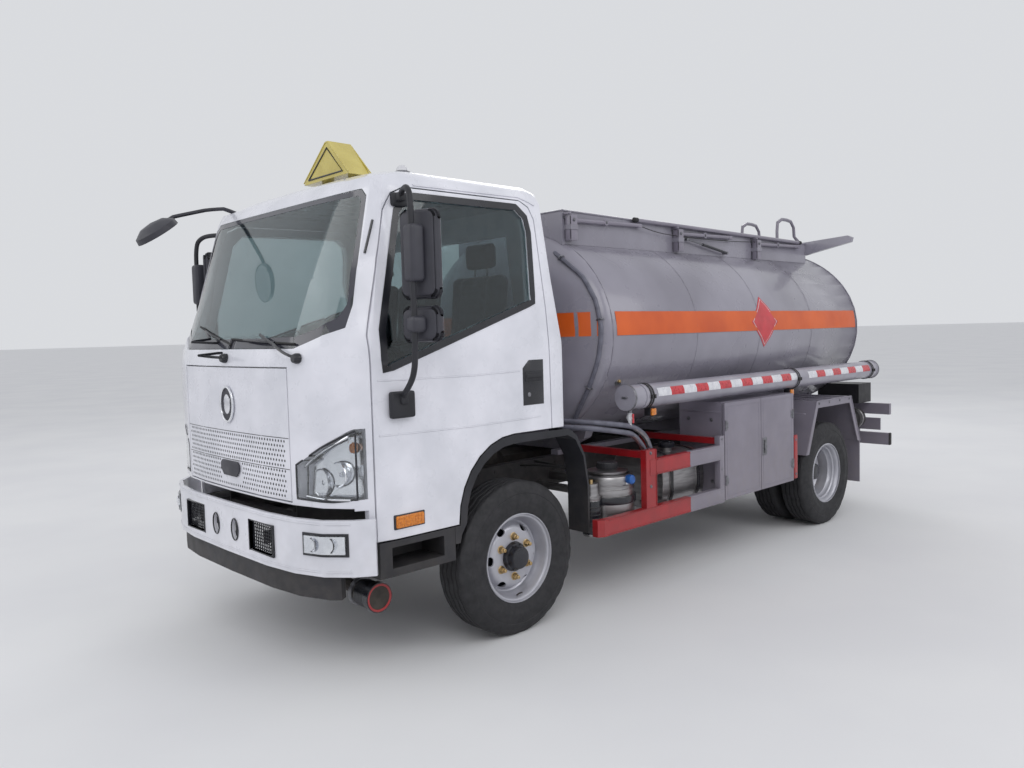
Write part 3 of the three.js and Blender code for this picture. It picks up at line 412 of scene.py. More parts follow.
class Form:
    """A piece being built up from turned, folded and bent shapes, in the truck's millimetres."""

    def __init__(self, side=1):
        self.mesh = bmesh.new()
        self.side = side
        self.used = []
        self.index = 0

    def use(self, name):
        """The finish of the shapes that follow."""
        if name not in self.used:
            self.used.append(name)
        self.index = self.used.index(name)
        return self

    def skin(self, faces, smooth=True):
        """Adds faces between points that are there, in the finish now in use."""
        for verts in faces:
            new = self.mesh.faces.new(verts)
            new.material_index = self.index
            new.smooth = smooth

    def take(self, points, faces):
        """Adds points and the faces between them."""
        made = [self.mesh.verts.new(at(p[0] * self.side, p[1], p[2])) for p in points]
        self.skin([made[i] for i in face] for face in faces)

    def block(self, x0, x1, y0, y1, z0, z1, round_mm=2.0, turn=None, steps=2):
        """A block with rounded edges, turned about its own middle if turn gives an angle and an axis."""
        middle = Vector(((x0 + x1) / 2, (y0 + y1) / 2, (z0 + z1) / 2))
        half = Vector((abs(x1 - x0) / 2, abs(y1 - y0) / 2, abs(z1 - z0) / 2))
        small = bmesh.new()
        bmesh.ops.create_cube(small, size=2)
        bmesh.ops.scale(small, vec=half, verts=small.verts)
        amount = min(round_mm, min(half) * 0.9)
        bmesh.ops.bevel(
            small, geom=list(small.edges), offset=amount, segments=steps, affect="EDGES", profile=0.5,
        )
        spin = Matrix.Rotation(radians(turn[0]), 3, turn[1]) if turn else Matrix.Identity(3)
        small.verts.index_update()
        points = [tuple(spin @ v.co + middle) for v in small.verts]
        self.take(points, [[v.index for v in f.verts] for f in small.faces])
        small.free()
        return self

    def lathe(self, profile, centre, axis="X", steps=24, flat=(1, 1), sweep=None):
        """A profile of (radius, along) turned about an axis, and closed where it reaches the axis."""
        span_deg = sweep or (0, 360)
        whole = span_deg[1] - span_deg[0] >= 360
        count = steps if whole else steps + 1
        rows = []
        points = []
        for radius, along in profile:
            row = []
            for i in range(1 if radius < 1e-6 else count):
                t = radians(span_deg[0] + (span_deg[1] - span_deg[0]) * i / steps)
                u, v = radius * cos(t) * flat[0], radius * sin(t) * flat[1]
                offset = {"X": (along, u, v), "Y": (u, along, v), "Z": (u, v, along)}[axis]
                row.append(len(points))
                points.append([c + o for c, o in zip(centre, offset)])
            rows.append(row)
        faces = []
        for a, b in zip(rows, rows[1:]):
            for i in range(count if whole else count - 1):
                j = (i + 1) % count
                if len(a) == 1 and len(b) > 1:
                    faces.append([a[0], b[i], b[j]])
                elif len(b) == 1 and len(a) > 1:
                    faces.append([a[i], a[j], b[0]])
                elif len(a) > 1:
                    faces.append([a[i], a[j], b[j], b[i]])
        self.take(points, faces)
        return self

    def tube(self, points, radius, sides=10, smooth=6, ends=True):
        """A round bar along a smooth line through some points."""
        path = curve_through([Vector(p) for p in points], smooth)
        ring_points, faces = [], []
        side = None
        for i, point in enumerate(path):
            along = (path[min(i + 1, len(path) - 1)] - path[max(i - 1, 0)]).normalized()
            if side is None:
                side = along.orthogonal().normalized()
            side = (side - along * side.dot(along)).normalized()
            up = along.cross(side)
            for k in range(sides):
                t = 2 * pi * k / sides
                ring_points.append(tuple(point + (side * cos(t) + up * sin(t)) * radius))
        for i in range(len(path) - 1):
            for k in range(sides):
                a, b = i * sides + k, i * sides + (k + 1) % sides
                faces.append([a, b, b + sides, a + sides])
        if ends:
            faces.append(list(range(sides)))
            faces.append([len(ring_points) - 1 - k for k in range(sides)])
        self.take(ring_points, faces)
        return self

    def plate(self, outline, low, high, axis="Y", round_mm=1.5, turn=None):
        """A flat outline given a thickness along an axis, with rounded edges, swung about an upright line."""
        small = bmesh.new()
        order = {
            "X": lambda u, v, w: (w, u, v), "Y": lambda u, v, w: (u, w, v), "Z": lambda u, v, w: (u, v, w),
        }[axis]
        face = small.faces.new([small.verts.new(order(u, v, low)) for u, v in outline])
        raised = bmesh.ops.extrude_face_region(small, geom=[face])
        step = Vector(order(0, 0, high - low))
        bmesh.ops.translate(
            small, vec=step, verts=[g for g in raised["geom"] if isinstance(g, bmesh.types.BMVert)],
        )
        amount = min(round_mm, abs(high - low) * 0.45)
        if amount > 0.05:
            bmesh.ops.bevel(
                small, geom=list(small.edges), offset=amount, segments=2, affect="EDGES", profile=0.5,
            )
        if turn:
            spin = Matrix.Rotation(radians(turn[0]), 3, "Z")
            bmesh.ops.rotate(small, verts=small.verts, cent=(turn[1], turn[2], 0), matrix=spin)
        small.verts.index_update()
        self.take([tuple(v.co) for v in small.verts], [[v.index for v in f.verts] for f in small.faces])
        small.free()
        return self

    def bolt(self, centre, axis="X", across=20, high=9, out=1):
        """A hexagon head on a washer, standing out along an axis."""
        r = across / 2
        washer = [(0, 0), (r * 1.35, 0), (r * 1.35, out * 2), (r, out * 2.4)]
        head = [(r, out * 2.4), (r, out * (high - 1.5)), (r * 0.86, out * high), (0, out * high)]
        self.lathe(washer, centre, axis, 12)
        self.lathe(head, centre, axis, 6)
        return self

    def strip(self, rows, thick=1.0, out=None):
        """A sheet through rows of points in the frame, given a small thickness outwards."""
        count = len(rows[0])
        points = [p for row in rows for p in row]
        faces = [
            [r * count + c, r * count + c + 1, (r + 1) * count + c + 1, (r + 1) * count + c]
            for r in range(len(rows) - 1) for c in range(count - 1)
        ]
        made = [self.mesh.verts.new(p) for p in points]
        top = [self.mesh.verts.new(p + o * thick * MM) for p, o in zip(points, out)]
        last = len(rows) - 1
        edge = [*range(count - 1), *[r * count + count - 1 for r in range(last)]]
        edge += [last * count + c for c in range(count - 1, 0, -1)] + [r * count for r in range(last, 0, -1)]
        walls = [[made[a], made[b], top[b], top[a]] for a, b in zip(edge, edge[1:] + edge[:1])]
        sheets = [[top[i] for i in face] for face in faces] + [
            [made[i] for i in reversed(face)] for face in faces
        ]
        self.skin(sheets + walls)
        return self

    def done(self, name, body, slot=None, stands_for=()):
        """The finished piece, riding on its body."""
        bmesh.ops.remove_doubles(self.mesh, verts=self.mesh.verts, dist=0.004 * MM)
        bmesh.ops.recalc_face_normals(self.mesh, faces=self.mesh.faces)
        made = shown(name, self.mesh, *self.used)
        made.data.set_sharp_from_angle(angle=radians(35))
        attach(made, body)
        if stands_for:
            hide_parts(*stands_for)
        return made


def curve_through(points, smooth):
    """A smooth line through points, with some steps between each two."""
    if len(points) < 3 or smooth < 2:
        return points
    path = []
    for i in range(len(points) - 1):
        a, b = points[max(i - 1, 0)], points[i]
        c, d = points[i + 1], points[min(i + 2, len(points) - 1)]
        for k in range(smooth):
            t = k / smooth
            path.append(
                0.5 * ((2 * b) + (c - a) * t + (
                    2 * a - 5 * b + 4 * c - d
                ) * t * t + (3 * b - a - 3 * c + d) * t**3)
            )
    return path + [points[-1]]


def hoop(x, y, z, a, b, count):
    """A closed line of points round an upright ellipse that faces along the truck."""
    turns = [2 * pi * i / count for i in range(count + 1)]
    return [(x + a * cos(t), y, z + b * sin(t)) for t in turns]


def oval(u, v, a, b, count=20, start=0):
    """Points round an ellipse."""
    return [(u + a * c, v + b * s) for c, s in around(count, start)]


def rounded(u0, u1, v0, v1, radius, steps=5):
    """Points round a rectangle with rounded corners."""
    points = []
    for cu, cv, start in ((u1 - radius, v1 - radius, 0), (u0 + radius, v1 - radius, 90),
                          (u0 + radius, v0 + radius, 180), (u1 - radius, v0 + radius, 270)):
        for i in range(steps + 1):
            t = radians(start + 90 * i / steps)
            points.append((cu + radius * cos(t), cv + radius * sin(t)))
    return points


def shading_group():
    """Smooth shading between the frame's facets, with its real corners kept."""
    tree = bpy.data.node_groups.new("smooth_frame_faces", "GeometryNodeTree")
    tree.interface.new_socket("Geometry", in_out="INPUT", socket_type="NodeSocketGeometry")
    tree.interface.new_socket("Geometry", in_out="OUTPUT", socket_type="NodeSocketGeometry")
    start = node(tree, "NodeGroupInput")
    weld = node(tree, "GeometryNodeMergeByDistance", {"Geometry": start.outputs[0], "Distance": 0.05 * MM})
    bare = node(tree, "GeometryNodeRemoveAttribute", {"Geometry": weld.outputs[0], "Name": "custom_normal"})
    faces = node(
        tree, "GeometryNodeSetShadeSmooth", {"Geometry": bare.outputs[0], "Shade Smooth": True}, domain="FACE"
    )
    bend = node(tree, "GeometryNodeInputMeshEdgeAngle")
    gentle = node(
        tree, "FunctionNodeCompare", {
            0: bend.outputs["Unsigned Angle"], 1: radians(31),
        }, operation="LESS_THAN"
    )
    edges = node(
        tree, "GeometryNodeSetShadeSmooth", {"Geometry": faces.outputs[0], "Shade Smooth": gentle.outputs[0]},
        domain="EDGE",
    )
    node(tree, "NodeGroupOutput", {0: edges.outputs[0]})
    return tree


# ---- Frame parts --------------------------------------------------------------------------------
# The frame parts in each finish; a star stands for left and right.
FRAME_FINISHES = {
    "cab": "cab_shell *_door front_panel front_bumper",
    "tank": "tank walkway_coaming",
    "guard": "handrail_front_post handrail_middle_post handrail_rear_post handrail_rail rear_ladder *_toolbox"
    " *_toolbox_front_door *_toolbox_rear_door *_rear_fender rear_underrun",
    "red": "*_side_guard",
    "pipe": "*_hose_tube",
    "chassis": "chassis_frame front_axle rear_axle rear_cabinet battery_box",
    "plastic": "dashboard *_arch_and_step lower_bumper steering_wheel",
    "housing": "*_mirrors blind_spot_mirror",
    "iron": "engine_block propeller_shaft *_knuckle exhaust",
    "glass": "windscreen rear_window *_door_glass",
    "yellow": "roof_sign",
    "aluminium": "manhole_lid fuel_tank urea_tank",
    "hose": "breather_hose",
    "lens": "*_headlamp",
    "fabric": "driver_seat passenger_seat",
    "tyre": "front_*_wheel rear_*_wheels",
}


class TruckSizes(bpy.types.PropertyGroup):
    """The sizes and colours of the truck that a user may change."""

    cab_white: bpy.props.StringProperty(name="Cab white", description="Colour of the cab", default="#E4E4EC")
    tank_grey: bpy.props.StringProperty(name="Tank grey", description="Colour of the tank", default="#918E9A")
    guard_grey: bpy.props.StringProperty(
        name="Guard grey", description="Colour of the lockers and guards", default="#85808D"
    )
    guard_red: bpy.props.StringProperty(
        name="Guard red", description="Red of the guard's ends", default="#A30F1A",
    )
    stripe_orange: bpy.props.StringProperty(
        name="Stripe orange", description="Colour of the tank's stripe", default="#D8601E"
    )
    stripe_low: bpy.props.FloatProperty(
        name="Stripe foot", description="Height of the stripe's lower edge", default=1.542, unit="LENGTH"
    )
    stripe_high: bpy.props.FloatProperty(
        name="Stripe top", description="Height of the stripe's upper edge", default=1.686, unit="LENGTH"
    )
    tyre_steps: bpy.props.IntProperty(
        name="Tyre steps", description="Tread pitches round a tyre", default=96, min=24, max=180
    )
    nuts: bpy.props.IntProperty(name="Wheel nuts", description="Nuts on each wheel", default=6, min=4, max=10)
    tread_depth: bpy.props.FloatProperty(
        name="Tread depth", description="Depth of the tyre's grooves", default=0.011, unit="LENGTH"
    )
    seat_swell: bpy.props.FloatProperty(
        name="Seat swell", description="How far the seat cushions may puff up", default=0.014, unit="LENGTH"
    )


class TRUCK_OT_frame_finishes(bpy.types.Operator):
    """Give each part of the frame its finish and smooth shading"""

    bl_idname = "truck.frame_finishes"
    bl_label = "Frame finishes"

    def execute(self, context):
        make_finishes(context.scene.truck_sizes)
        group = shading_group()
        for name, parts in FRAME_FINISHES.items():
            for part in {words.replace("*", word): None for words in parts.split() for word in SIDES}:
                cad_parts[part].data.materials.clear()
                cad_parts[part].data.materials.append(FINISHES[name])
                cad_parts[part].modifiers.new("smooth", "NODES").node_group = group
        return {"FINISHED"}


# ---- Wheels -------------------------------------------------------------------------------------
TYRE_RADIUS = 402


def tyre(form, x, y, steps, depth):
    """A rib tyre round its own axle: zigzag grooves, notched shoulders, ringed sidewalls."""
    z = radius = TYRE_RADIUS
    across = [-78, -56, -50, -44, -24, -18, -12, 12, 18, 24, 44, 50, 56, 78]
    deep = {-50, -18, 18, 50}
    wall = [
        (378, 95), (362, 103), (342, 106.5), (338, 104.5), (330, 107), (300, 106), (292, 106.8), (288, 105.5),
        (262, 101), (256, 99.4), (250, 98.8), (238, 93), (230, 88),
    ]
    form.use("tyre")
    rows = []
    count = steps * 2
    for i in range(count):
        t = 2 * pi * i / count
        sway = 3.2 * (1 if (i // 2) % 2 else -1)
        notch = i % 4 == 0
        row = [(r, -a) for r, a in reversed(wall)]
        row.append((radius - (15 if notch else 7), -88))
        for a in across:
            low = radius - depth if a in deep else radius - (1.4 if notch and abs(a) > 56 else 0)
            row.append((low, a + (sway if abs(a) < 60 else 0)))
        row.append((radius - (15 if notch else 7), 88))
        row.extend(wall)
        rows.append([(x + a, y + r * sin(t), z - r * cos(t)) for r, a in row])
    width = len(rows[0])
    points = [p for row in rows for p in row]
    faces = []
    for i in range(count):
        for k in range(width - 1):
            a, b = i * width + k, ((i + 1) % count) * width + k
            faces.append([a, b, b + 1, a + 1])
    form.take(points, faces)
    form.lathe([(229, -90), (229, 90)], (x, y, z), "X", 48)


def hand_holes(disc, centre, radius, count, size):
    """Cuts oval hand holes through a wheel disc."""
    tools = bmesh.new()
    for c, s in around(count):
        ring = [(radius + size[0] * u, size[1] * v) for u, v in around(16)]
        ends = [
            [
                tools.verts.new(at(centre[0] + along, centre[1] + u * c - v * s, centre[2] + u * s + v * c))
                for u, v in ring
            ]
            for along in (-90, 90)
        ]
        tools.faces.new(ends[0])
        tools.faces.new(list(reversed(ends[1])))
        for k in range(16):
            j = (k + 1) % 16
            tools.faces.new([ends[0][k], ends[1][k], ends[1][j], ends[0][j]])
    bmesh.ops.recalc_face_normals(tools, faces=tools.faces)
    cutter = shown("hand_hole_cutters", tools)
    cut = disc.modifiers.new("hand_holes", "BOOLEAN")
    cut.object, cut.operation, cut.solver = cutter, "DIFFERENCE", "EXACT"
    bpy.context.view_layer.update()
    result = bpy.data.meshes.new_from_object(disc.evaluated_get(bpy.context.evaluated_depsgraph_get()))
    disc.modifiers.clear()
    disc.data = result
    result.set_sharp_from_angle(angle=radians(35))
    bpy.data.objects.remove(cutter)


def wheel_nuts(form, count, x, y, radius, top, tip):
    """Washers, nuts and stud ends on a ring round an axle: the nuts' height and the studs' height."""
    for c, s in around(count, 30):
        centre = (x, y + radius * c, TYRE_RADIUS + radius * s)
        form.use("brass").lathe([(0, 0), (22, 0), (22, 3), (17, 5)], centre, "X", 20)
        form.lathe([(17, 4), (17, top - 4), (14, top), (10, top + 1)], centre, "X", 6)
        form.lathe([(10, top), (10, tip - 2), (8, tip), (0, tip)], centre, "X", 12)


def front_wheel(word, side, sizes):
    """A single front wheel: tyre, disc, rim, hub, nuts and valve."""
    body = f"front_{word}_wheel"
    x0, x1, y0, y1, _, _ = span(body)
    x, y, z = (abs(x0) + abs(x1)) / 2 - 2.5, (y0 + y1) / 2, TYRE_RADIUS
    form = Form(side)
    tyre(form, x, y, sizes.tyre_steps // 2, sizes.tread_depth / MM)
    form.done(f"front_{word}_tyre", body, "tyre", stands_for=(body,))
    disc = Form(side).use("wheel").lathe([
        (182, 2), (170, 14), (166, 28), (157, 38), (146, 43), (124, 45), (78, 45), (78, 39), (122, 38),
        (143, 36), (152, 30), (159, 16), (168, 4), (182, -8), (182, 2),
    ], (x, y, z), "X", 72)
    hand_holes(disc.done(f"front_{word}_disc", body, "wheel_silver"), (x * side, y, z), 157, 6, (15, 25))
    rim = Form(side).use("wheel").lathe([
        (229, 96), (233, 95), (235, 90), (229, 85), (216, 82), (209, 72), (206, 44), (196, 28), (190, 10),
        (180, 4), (178, -60), (196, -80), (218, -88), (226, -96), (233, -92), (224, -82), (200, -74),
        (186, -60), (184, 0), (197, 8), (203, 20), (213, 40), (216, 66), (222, 77), (229, 96),
    ], (x, y, z), "X", 72)
    rim.done(f"front_{word}_rim", body, "wheel_silver")
    hub = Form(side).use("trim")
    hub.lathe([
        (76, 40), (76, 60), (72, 66), (62, 68), (60, 92), (56, 100), (40, 104), (0, 105),
    ], (x, y, z), "X", 36)
    hub.lathe([(176, -70), (176, -8), (165, 0), (70, 4), (70, 38)], (x, y, z), "X", 40)
    for c, s in around(8, 22.5):
        hub.bolt((x + 67, y + 67 * c, z + 67 * s), "X", 11, 6)
    hub.done(f"front_{word}_hub", body)
    nuts = Form(side)
    wheel_nuts(nuts, sizes.nuts, x + 43, y, 106, 24, 38)
    nuts.use("rubber").tube([(x + 60, y, z - 205), (x + 82, y, z - 190), (x + 100, y, z - 183)], 4.5, 8)
    nuts.done(f"front_{word}_nuts", body, "brass")


def rear_wheels(word, side, sizes):
    """A pair of twin rear wheels: tyres, dished disc, rims, hub and nuts."""
    body = f"rear_{word}_wheels"
    _, _, y0, y1, _, _ = span(body)
    x, y, z, inner = 923, (y0 + y1) / 2, TYRE_RADIUS, 678
    form = Form(side)
    for middle in (x, inner):
        tyre(form, middle, y, sizes.tyre_steps // 2, sizes.tread_depth / MM)
    form.done(f"rear_{word}_tyres", body, "tyre", stands_for=(body,))
    deep = Form(side).use("wheel").lathe([
        (184, -62), (172, -76), (158, -92), (146, -104), (126, -109), (82, -109), (82, -116), (128, -116),
        (150, -111), (164, -99), (178, -82), (186, -72), (184, -62),
    ], (x, y, z), "X", 72)
    made = deep.done(f"rear_{word}_discs", body, "wheel_silver")
    hand_holes(made, (x * side - 100 * side, y, z), 157, 6, (13, 24))
    rims = Form(side).use("wheel").lathe([
        (226, 96), (233, 95), (235, 90), (229, 85), (219, 80), (212, 68), (209, 52), (200, 44), (197, 20),
        (188, 10), (184, -30), (180, -60), (184, -80), (216, -92), (229, -99), (235, -92), (226, -88),
        (190, -76), (186, -60), (190, -30), (194, 6), (204, 18), (208, 42), (217, 50), (221, 70), (227, 80),
        (226, 96),
    ], (x, y, z), "X", 72)
    rims.done(f"rear_{word}_rims", body, "wheel_silver")
    hub = Form(side).use("trim")
    hub.lathe([
        (80, -114), (80, -96), (74, -90), (70, -20), (64, -8), (60, 4), (30, 10), (0, 11),
    ], (x, y, z), "X", 36)
    hub.lathe([(176, -340), (176, -150), (165, -122), (82, -118)], (x, y, z), "X", 40)
    for c, s in around(8, 22.5):
        hub.bolt((x + 1, y + 46 * c, z + 46 * s), "X", 13, 8)
    hub.use("wheel").lathe([
        (229, -340), (222, -330), (190, -320), (182, -250), (190, -168), (222, -158), (229, -150),
    ], (x, y, z), "X", 60)
    hub.done(f"rear_{word}_hub", body)
    nuts = Form(side)
    wheel_nuts(nuts, sizes.nuts, x - 109, y, 105, 26, 46)
    nuts.done(f"rear_{word}_nuts", body, "brass")


class TRUCK_OT_wheels(bpy.types.Operator):
    """Build the six tyres, their rims, hubs and nuts"""

    bl_idname = "truck.wheels"
    bl_label = "Wheels"

    def execute(self, context):
        for word, side in SIDES.items():
            front_wheel(word, side, context.scene.truck_sizes)
            rear_wheels(word, side, context.scene.truck_sizes)
        return {"FINISHED"}


# ---- Cab ----------------------------------------------------------------------------------------
# Where rays that find the cab's front start, from a place across and up, and the way they go.
FROM_FRONT = (lambda u, v: (u, -2400, v), (0, 1, 0))


def from_side(side):
    """The same for a side, from a place along and up."""
    return (lambda u, v: (side * 2400, u, v), (-side, 0, 0))


def on_front(tree, x, z, proud=0.0):
    """A point on the cab's front, a little proud of it, and the way out there."""
    place, out = lay(tree, (x, -2400, z), (0, 1, 0))
    return place + out * proud * MM, out


def dot(form, place, out, across, high, proud, sink=0.6):
    """A small oval set on a surface, standing proud by a given height."""
    u = out.cross(Vector((0, 0, 1))).normalized()
    v = u.cross(out).normalized() * (1 if u.cross(out).z > 0 else -1)
    base = place - out * sink * MM
    top = place + out * proud * MM
    rings = []
    for centre, scale in ((base, 1.0), (top, 1.0), (top - out * 0.1 * MM, 0.6)):
        rings.append([
            form.mesh.verts.new(
                centre + u * (across / 2 * MM * scale * cos(pi * k / 4))
                + v * (high / 2 * MM * scale * sin(pi * k / 4))
            )
            for k in range(8)
        ])
    for a, b in zip(rings, rings[1:]):
        form.skin(([a[k], a[(k + 1) % 8], b[(k + 1) % 8], b[k]] for k in range(8)), False)
    form.skin([rings[-1]], False)


def ribbon(form, tree, line, width, start, way, thick=2.0, lift=0.3):
    """A flat strip laid on a surface along a line of two coordinates, its width across the line."""
    centres, outs = [], []
    for u, v in line:
        place, out = lay(tree, start(u, v), way)
        centres.append(place + out * lift * MM)
        outs.append(out)
    rows, normals = [], []
    closed = (centres[0] - centres[-1]).length < 1e-6
    n = len(centres)
    for i in range(n):
        before = centres[i - 1] if i > 0 else (centres[-2] if closed else centres[0])
        after = centres[i + 1] if i < n - 1 else (centres[1] if closed else centres[-1])
        along = (after - before).normalized()
        side = along.cross(outs[i]).normalized() * (width / 2 * MM)
        rows.append([centres[i] - side, centres[i] + side])
        normals.append(outs[i])
    bottom, top = [], []
    for row, out in zip(rows, normals):
        bottom.append([form.mesh.verts.new(p) for p in row])
        top.append([form.mesh.verts.new(p + out * thick * MM) for p in row])
    for (a, b), (c, d), (e, f), (g, h) in zip(bottom, top, bottom[1:], top[1:]):
        form.skin([[c, d, h, g], [b, a, e, f], [a, c, g, e], [d, b, f, h]])
    form.skin(([*bottom[end], *reversed(top[end])] for end in (0, n - 1)), False)


def fine(line, step):
    """A line with extra points, so that it follows a curved surface."""
    out = []
    for (u0, v0), (u1, v1) in zip(line, line[1:]):
        count = max(1, int(hypot(u1 - u0, v1 - v0) / step))
        out.extend((u0 + (u1 - u0) * i / count, v0 + (v1 - v0) * i / count) for i in range(count))
    return out + [line[-1]]


def front_panel():
    """The perforations, drawn as raised black dots of painted shade, the seams, badge ring and sensor cover.
    """
    tree = hits(["front_panel", "cab_shell"])
    x0, x1, _, _, z0, _ = span("front_panel")
    form = Form().use("trim")
    # The perforations are not cut. Each is a raised black dot, painted shade standing in for the dark inside
    # of a hole.
    for section, (low, high) in enumerate(((z0 + 20, z0 + 136), (z0 + 162, z0 + 276))):
        for row in range(6):
            z = low + (high - low) * row / 5
            for k in range(46):
                x = x0 + 30 + (x1 - x0 - 60) * (k + (0.5 if row % 2 else 0)) / 46
                if section == 0 and abs(x) < 122 and z0 + 34 < z:
                    continue
                place, out = on_front(tree, x, z)
                dot(form, place, out, 11, 13, 0.5)
    form.done("front_panel_perforations_painted_shade", "front_panel", "black_plastic")
    lines = Form().use("trim")
    for z in (z0 + 147, z0 + 291):
        ribbon(lines, tree, fine([(x0 + 4, z), (x1 - 4, z)], 60), 3.2, *FROM_FRONT, 0.5)
    lines.done("front_panel_seams", "front_panel")
    badge = Form().use("chrome")
    place, out = on_front(tree, 0, 1255)
    y = (place.y - AXLE_Y) / MM
    badge.tube(hoop(0, y - 7, 1255, 68, 88, 48), 6.5, 10, 1, ends=False)
    badge.use("housing").plate(oval(0, 1255, 64, 84, 48), y - 4, y - 1, "Y", 1)
    badge.use("chrome").plate(oval(0, 1255, 34, 50, 40), y - 8, y - 3, "Y", 2)
    badge.done("front_badge_ring", "front_panel", "lamp_chrome")
    cover = Form().use("housing")
    cover.plate(
        [(-104, 952), (-86, 968), (86, 968), (104, 952), (104, 922), (72, 890), (-72, 890), (-104, 922)],
        y - 8, y - 1, "Y", 3,
    )
    cover.done("front_sensor_cover", "front_panel", "black_plastic")


class TRUCK_OT_front(bpy.types.Operator):
    """Build the front panel's perforations as black dots of painted shade, its plain oval badge ring and the
    cab's front seams
    """

    bl_idname = "truck.front"
    bl_label = "Front panel"

    def execute(self, context):
        front_panel()
        return {"FINISHED"}


# Each wiper: where its pivot is, the arm's tip, and the blade's two ends, across and up.
WIPERS = ((640, (300, 1592), (600, 1548), (0, 1578)), (-10, (-336, 1619), (10, 1550), (-483, 1650)))

# The windscreen's outer edge and the inner edge of its printed border, up one side: across and up.
SCREEN_EDGE = [
    (0, 1533), (300, 1533), (600, 1533), (720, 1577), (834, 1620), (848, 1720), (821, 1968), (792, 2216),
    (753, 2252), (378, 2252), (0, 2252),
]
BORDER_EDGE = [
    (0, 1580), (300, 1580), (585, 1584), (700, 1618), (786, 1662), (816, 1724), (790, 1964), (764, 2200),
    (738, 2224), (378, 2228), (0, 2228),
]


def between(form, tree, outer, inner, step, start, way, thick):
    """A strip laid on a surface between two lines that have a point for each other's points."""
    rows, outs = ([], []), ([], [])
    for i in range(len(outer) - 1):
        count = max(1, int(dist(outer[i], outer[i + 1]) / step))
        for k in range(count + (i == len(outer) - 2)):
            for line, row, out in zip((outer, inner), rows, outs):
                (u0, v0), (u1, v1) = line[i], line[i + 1]
                place, away = lay(tree, start(u0 + (u1 - u0) * k / count, v0 + (v1 - v0) * k / count), way)
                row.append(place + away * 0.3 * MM)
                out.append(away)
    form.strip(rows, thick, outs[0] + outs[1])


def over_front(tree, start, end, steps, lift):
    """Points over the cab's front from one place to another, each lifted by its share of the way."""
    points = []
    for t in (k / steps for k in range(steps + 1)):
        x, z = start[0] + (end[0] - start[0]) * t, start[1] + (end[1] - start[1]) * t
        points.append(local(on_front(tree, x, z, lift(t))[0]))
    return points


class TRUCK_OT_screen(bpy.types.Operator):
    """Build the windscreen's printed border and the wipers"""

    bl_idname = "truck.screen"
    bl_label = "Windscreen and wipers"

    def execute(self, context):
        glass = hits(["windscreen"])
        form = Form().use("border")
        for side in (1, -1):
            outer, inner = [[(side * u, v) for u, v in line] for line in (SCREEN_EDGE, BORDER_EDGE)]
            between(form, glass, outer, inner, 45, *FROM_FRONT, 1.0)
        form.done("windscreen_border", "cab", "black_plastic")
        whole = hits(["windscreen", "cab_shell", "front_panel"])
        for i, (px, tip, heel, toe) in enumerate(WIPERS):
            wiper = Form().use("trim")
            place, out = on_front(whole, px, 1486)
            y = (place.y - AXLE_Y) / MM
            wiper.lathe([(0, 2), (24, 2), (24, -16), (18, -30), (0, -31)], (px, y, 1486), "Y", 20)
            wiper.tube(over_front(whole, (px, 1486), tip, 6, lambda t: 18 + 12 * sin(pi * t)), 7, 8, 3)
            blade = over_front(whole, heel, toe, 8, lambda t: 9)
            wiper.use("rubber").tube(blade, 5.5, 6, 2)
            bridge = [(p[0], p[1] - 10 - 8 * sin(pi * k / 4), p[2] + 2) for k, p in enumerate(blade[2:7])]
            wiper.use("trim").tube(bridge, 5, 6, 3)
            wiper.done(f"wiper_{i + 1}", "cab", "black_plastic")
        return {"FINISHED"}


def door_fittings(word, side):
    """One door's window frame, handle, swage lines, side lamp and pillar vent."""
    tree = hits([f"{word}_door", f"{word}_door_glass", "cab_shell"])
    form = Form().use("trim")
    ribbon(form, tree, fine(WINDOW_LINE, 40), 34, *from_side(side), 3.0)
    form.done(f"{word}_window_frame", f"{word}_door", "black_plastic")
    handle = Form(side).use("trim")
    x = 940
    handle.plate([(53, 1195), (205, 1195), (205, 1431), (98, 1431), (53, 1390)], x - 3, x + 1.5, "X", 1.2)
    handle.use("plastic").block(x - 2, x + 7, 66, 192, 1320, 1372, 6)
    handle.block(x - 1, x + 12, 72, 186, 1336, 1360, 7)
    handle.use("zinc").lathe([(0, 0), (12, 0), (12, 4), (9, 6), (0, 6)], (x, 96, 1250), "X", 20)
    handle.done(f"{word}_door_handle", f"{word}_door", "black_plastic")
    lines = Form().use("cab")
    for line in ([(-840, 1130), (-300, 1122), (180, 1130)], [(-840, 1378), (-300, 1372), (30, 1378)]):
        ribbon(lines, tree, fine(line, 60), 7, *from_side(side), 1.6)
    lines.done(f"{word}_door_swage", f"{word}_door", "cab_paint")
    lamp = Form(side).use("trim")
    lamp.block(932, 944, -784, -610, 693, 762, 5)
    lamp.use("amber").block(936, 952, -776, -618, 699, 756, 7)
    for k in range(9):
        lamp.block(950, 953.5, -768 + 16 * k, -760 + 16 * k, 704, 751, 1.2)
    lamp.done(f"{word}_side_lamp", f"{word}_door", "lamp_amber")
    vent = Form().use("trim")
    shell = hits(["cab_shell", "windscreen", f"{word}_door"])
    spots = [local(on_front(shell, side * (848 - 0.2 * k), 1950 + 8 * k, 2)[0]) for k in range(20)]
    vent.tube(spots, 6, 6, 1)
    vent.done(f"{word}_pillar_vent", "cab", "black_plastic")


class TRUCK_OT_doors(bpy.types.Operator):
    """Build the doors' window frames, handles, swage lines, vents and side lamps"""

    bl_idname = "truck.doors"
    bl_label = "Doors"

    def execute(self, context):
        for word, side in SIDES.items():
            door_fittings(word, side)
        return {"FINISHED"}


WINDOW_LINE = [
    (-800, 1424), (-800, 1604), (-673, 2148), (-600, 2222), (90, 2228), (154, 2180), (171, 2100), (161, 1735),
    (-800, 1424),
]


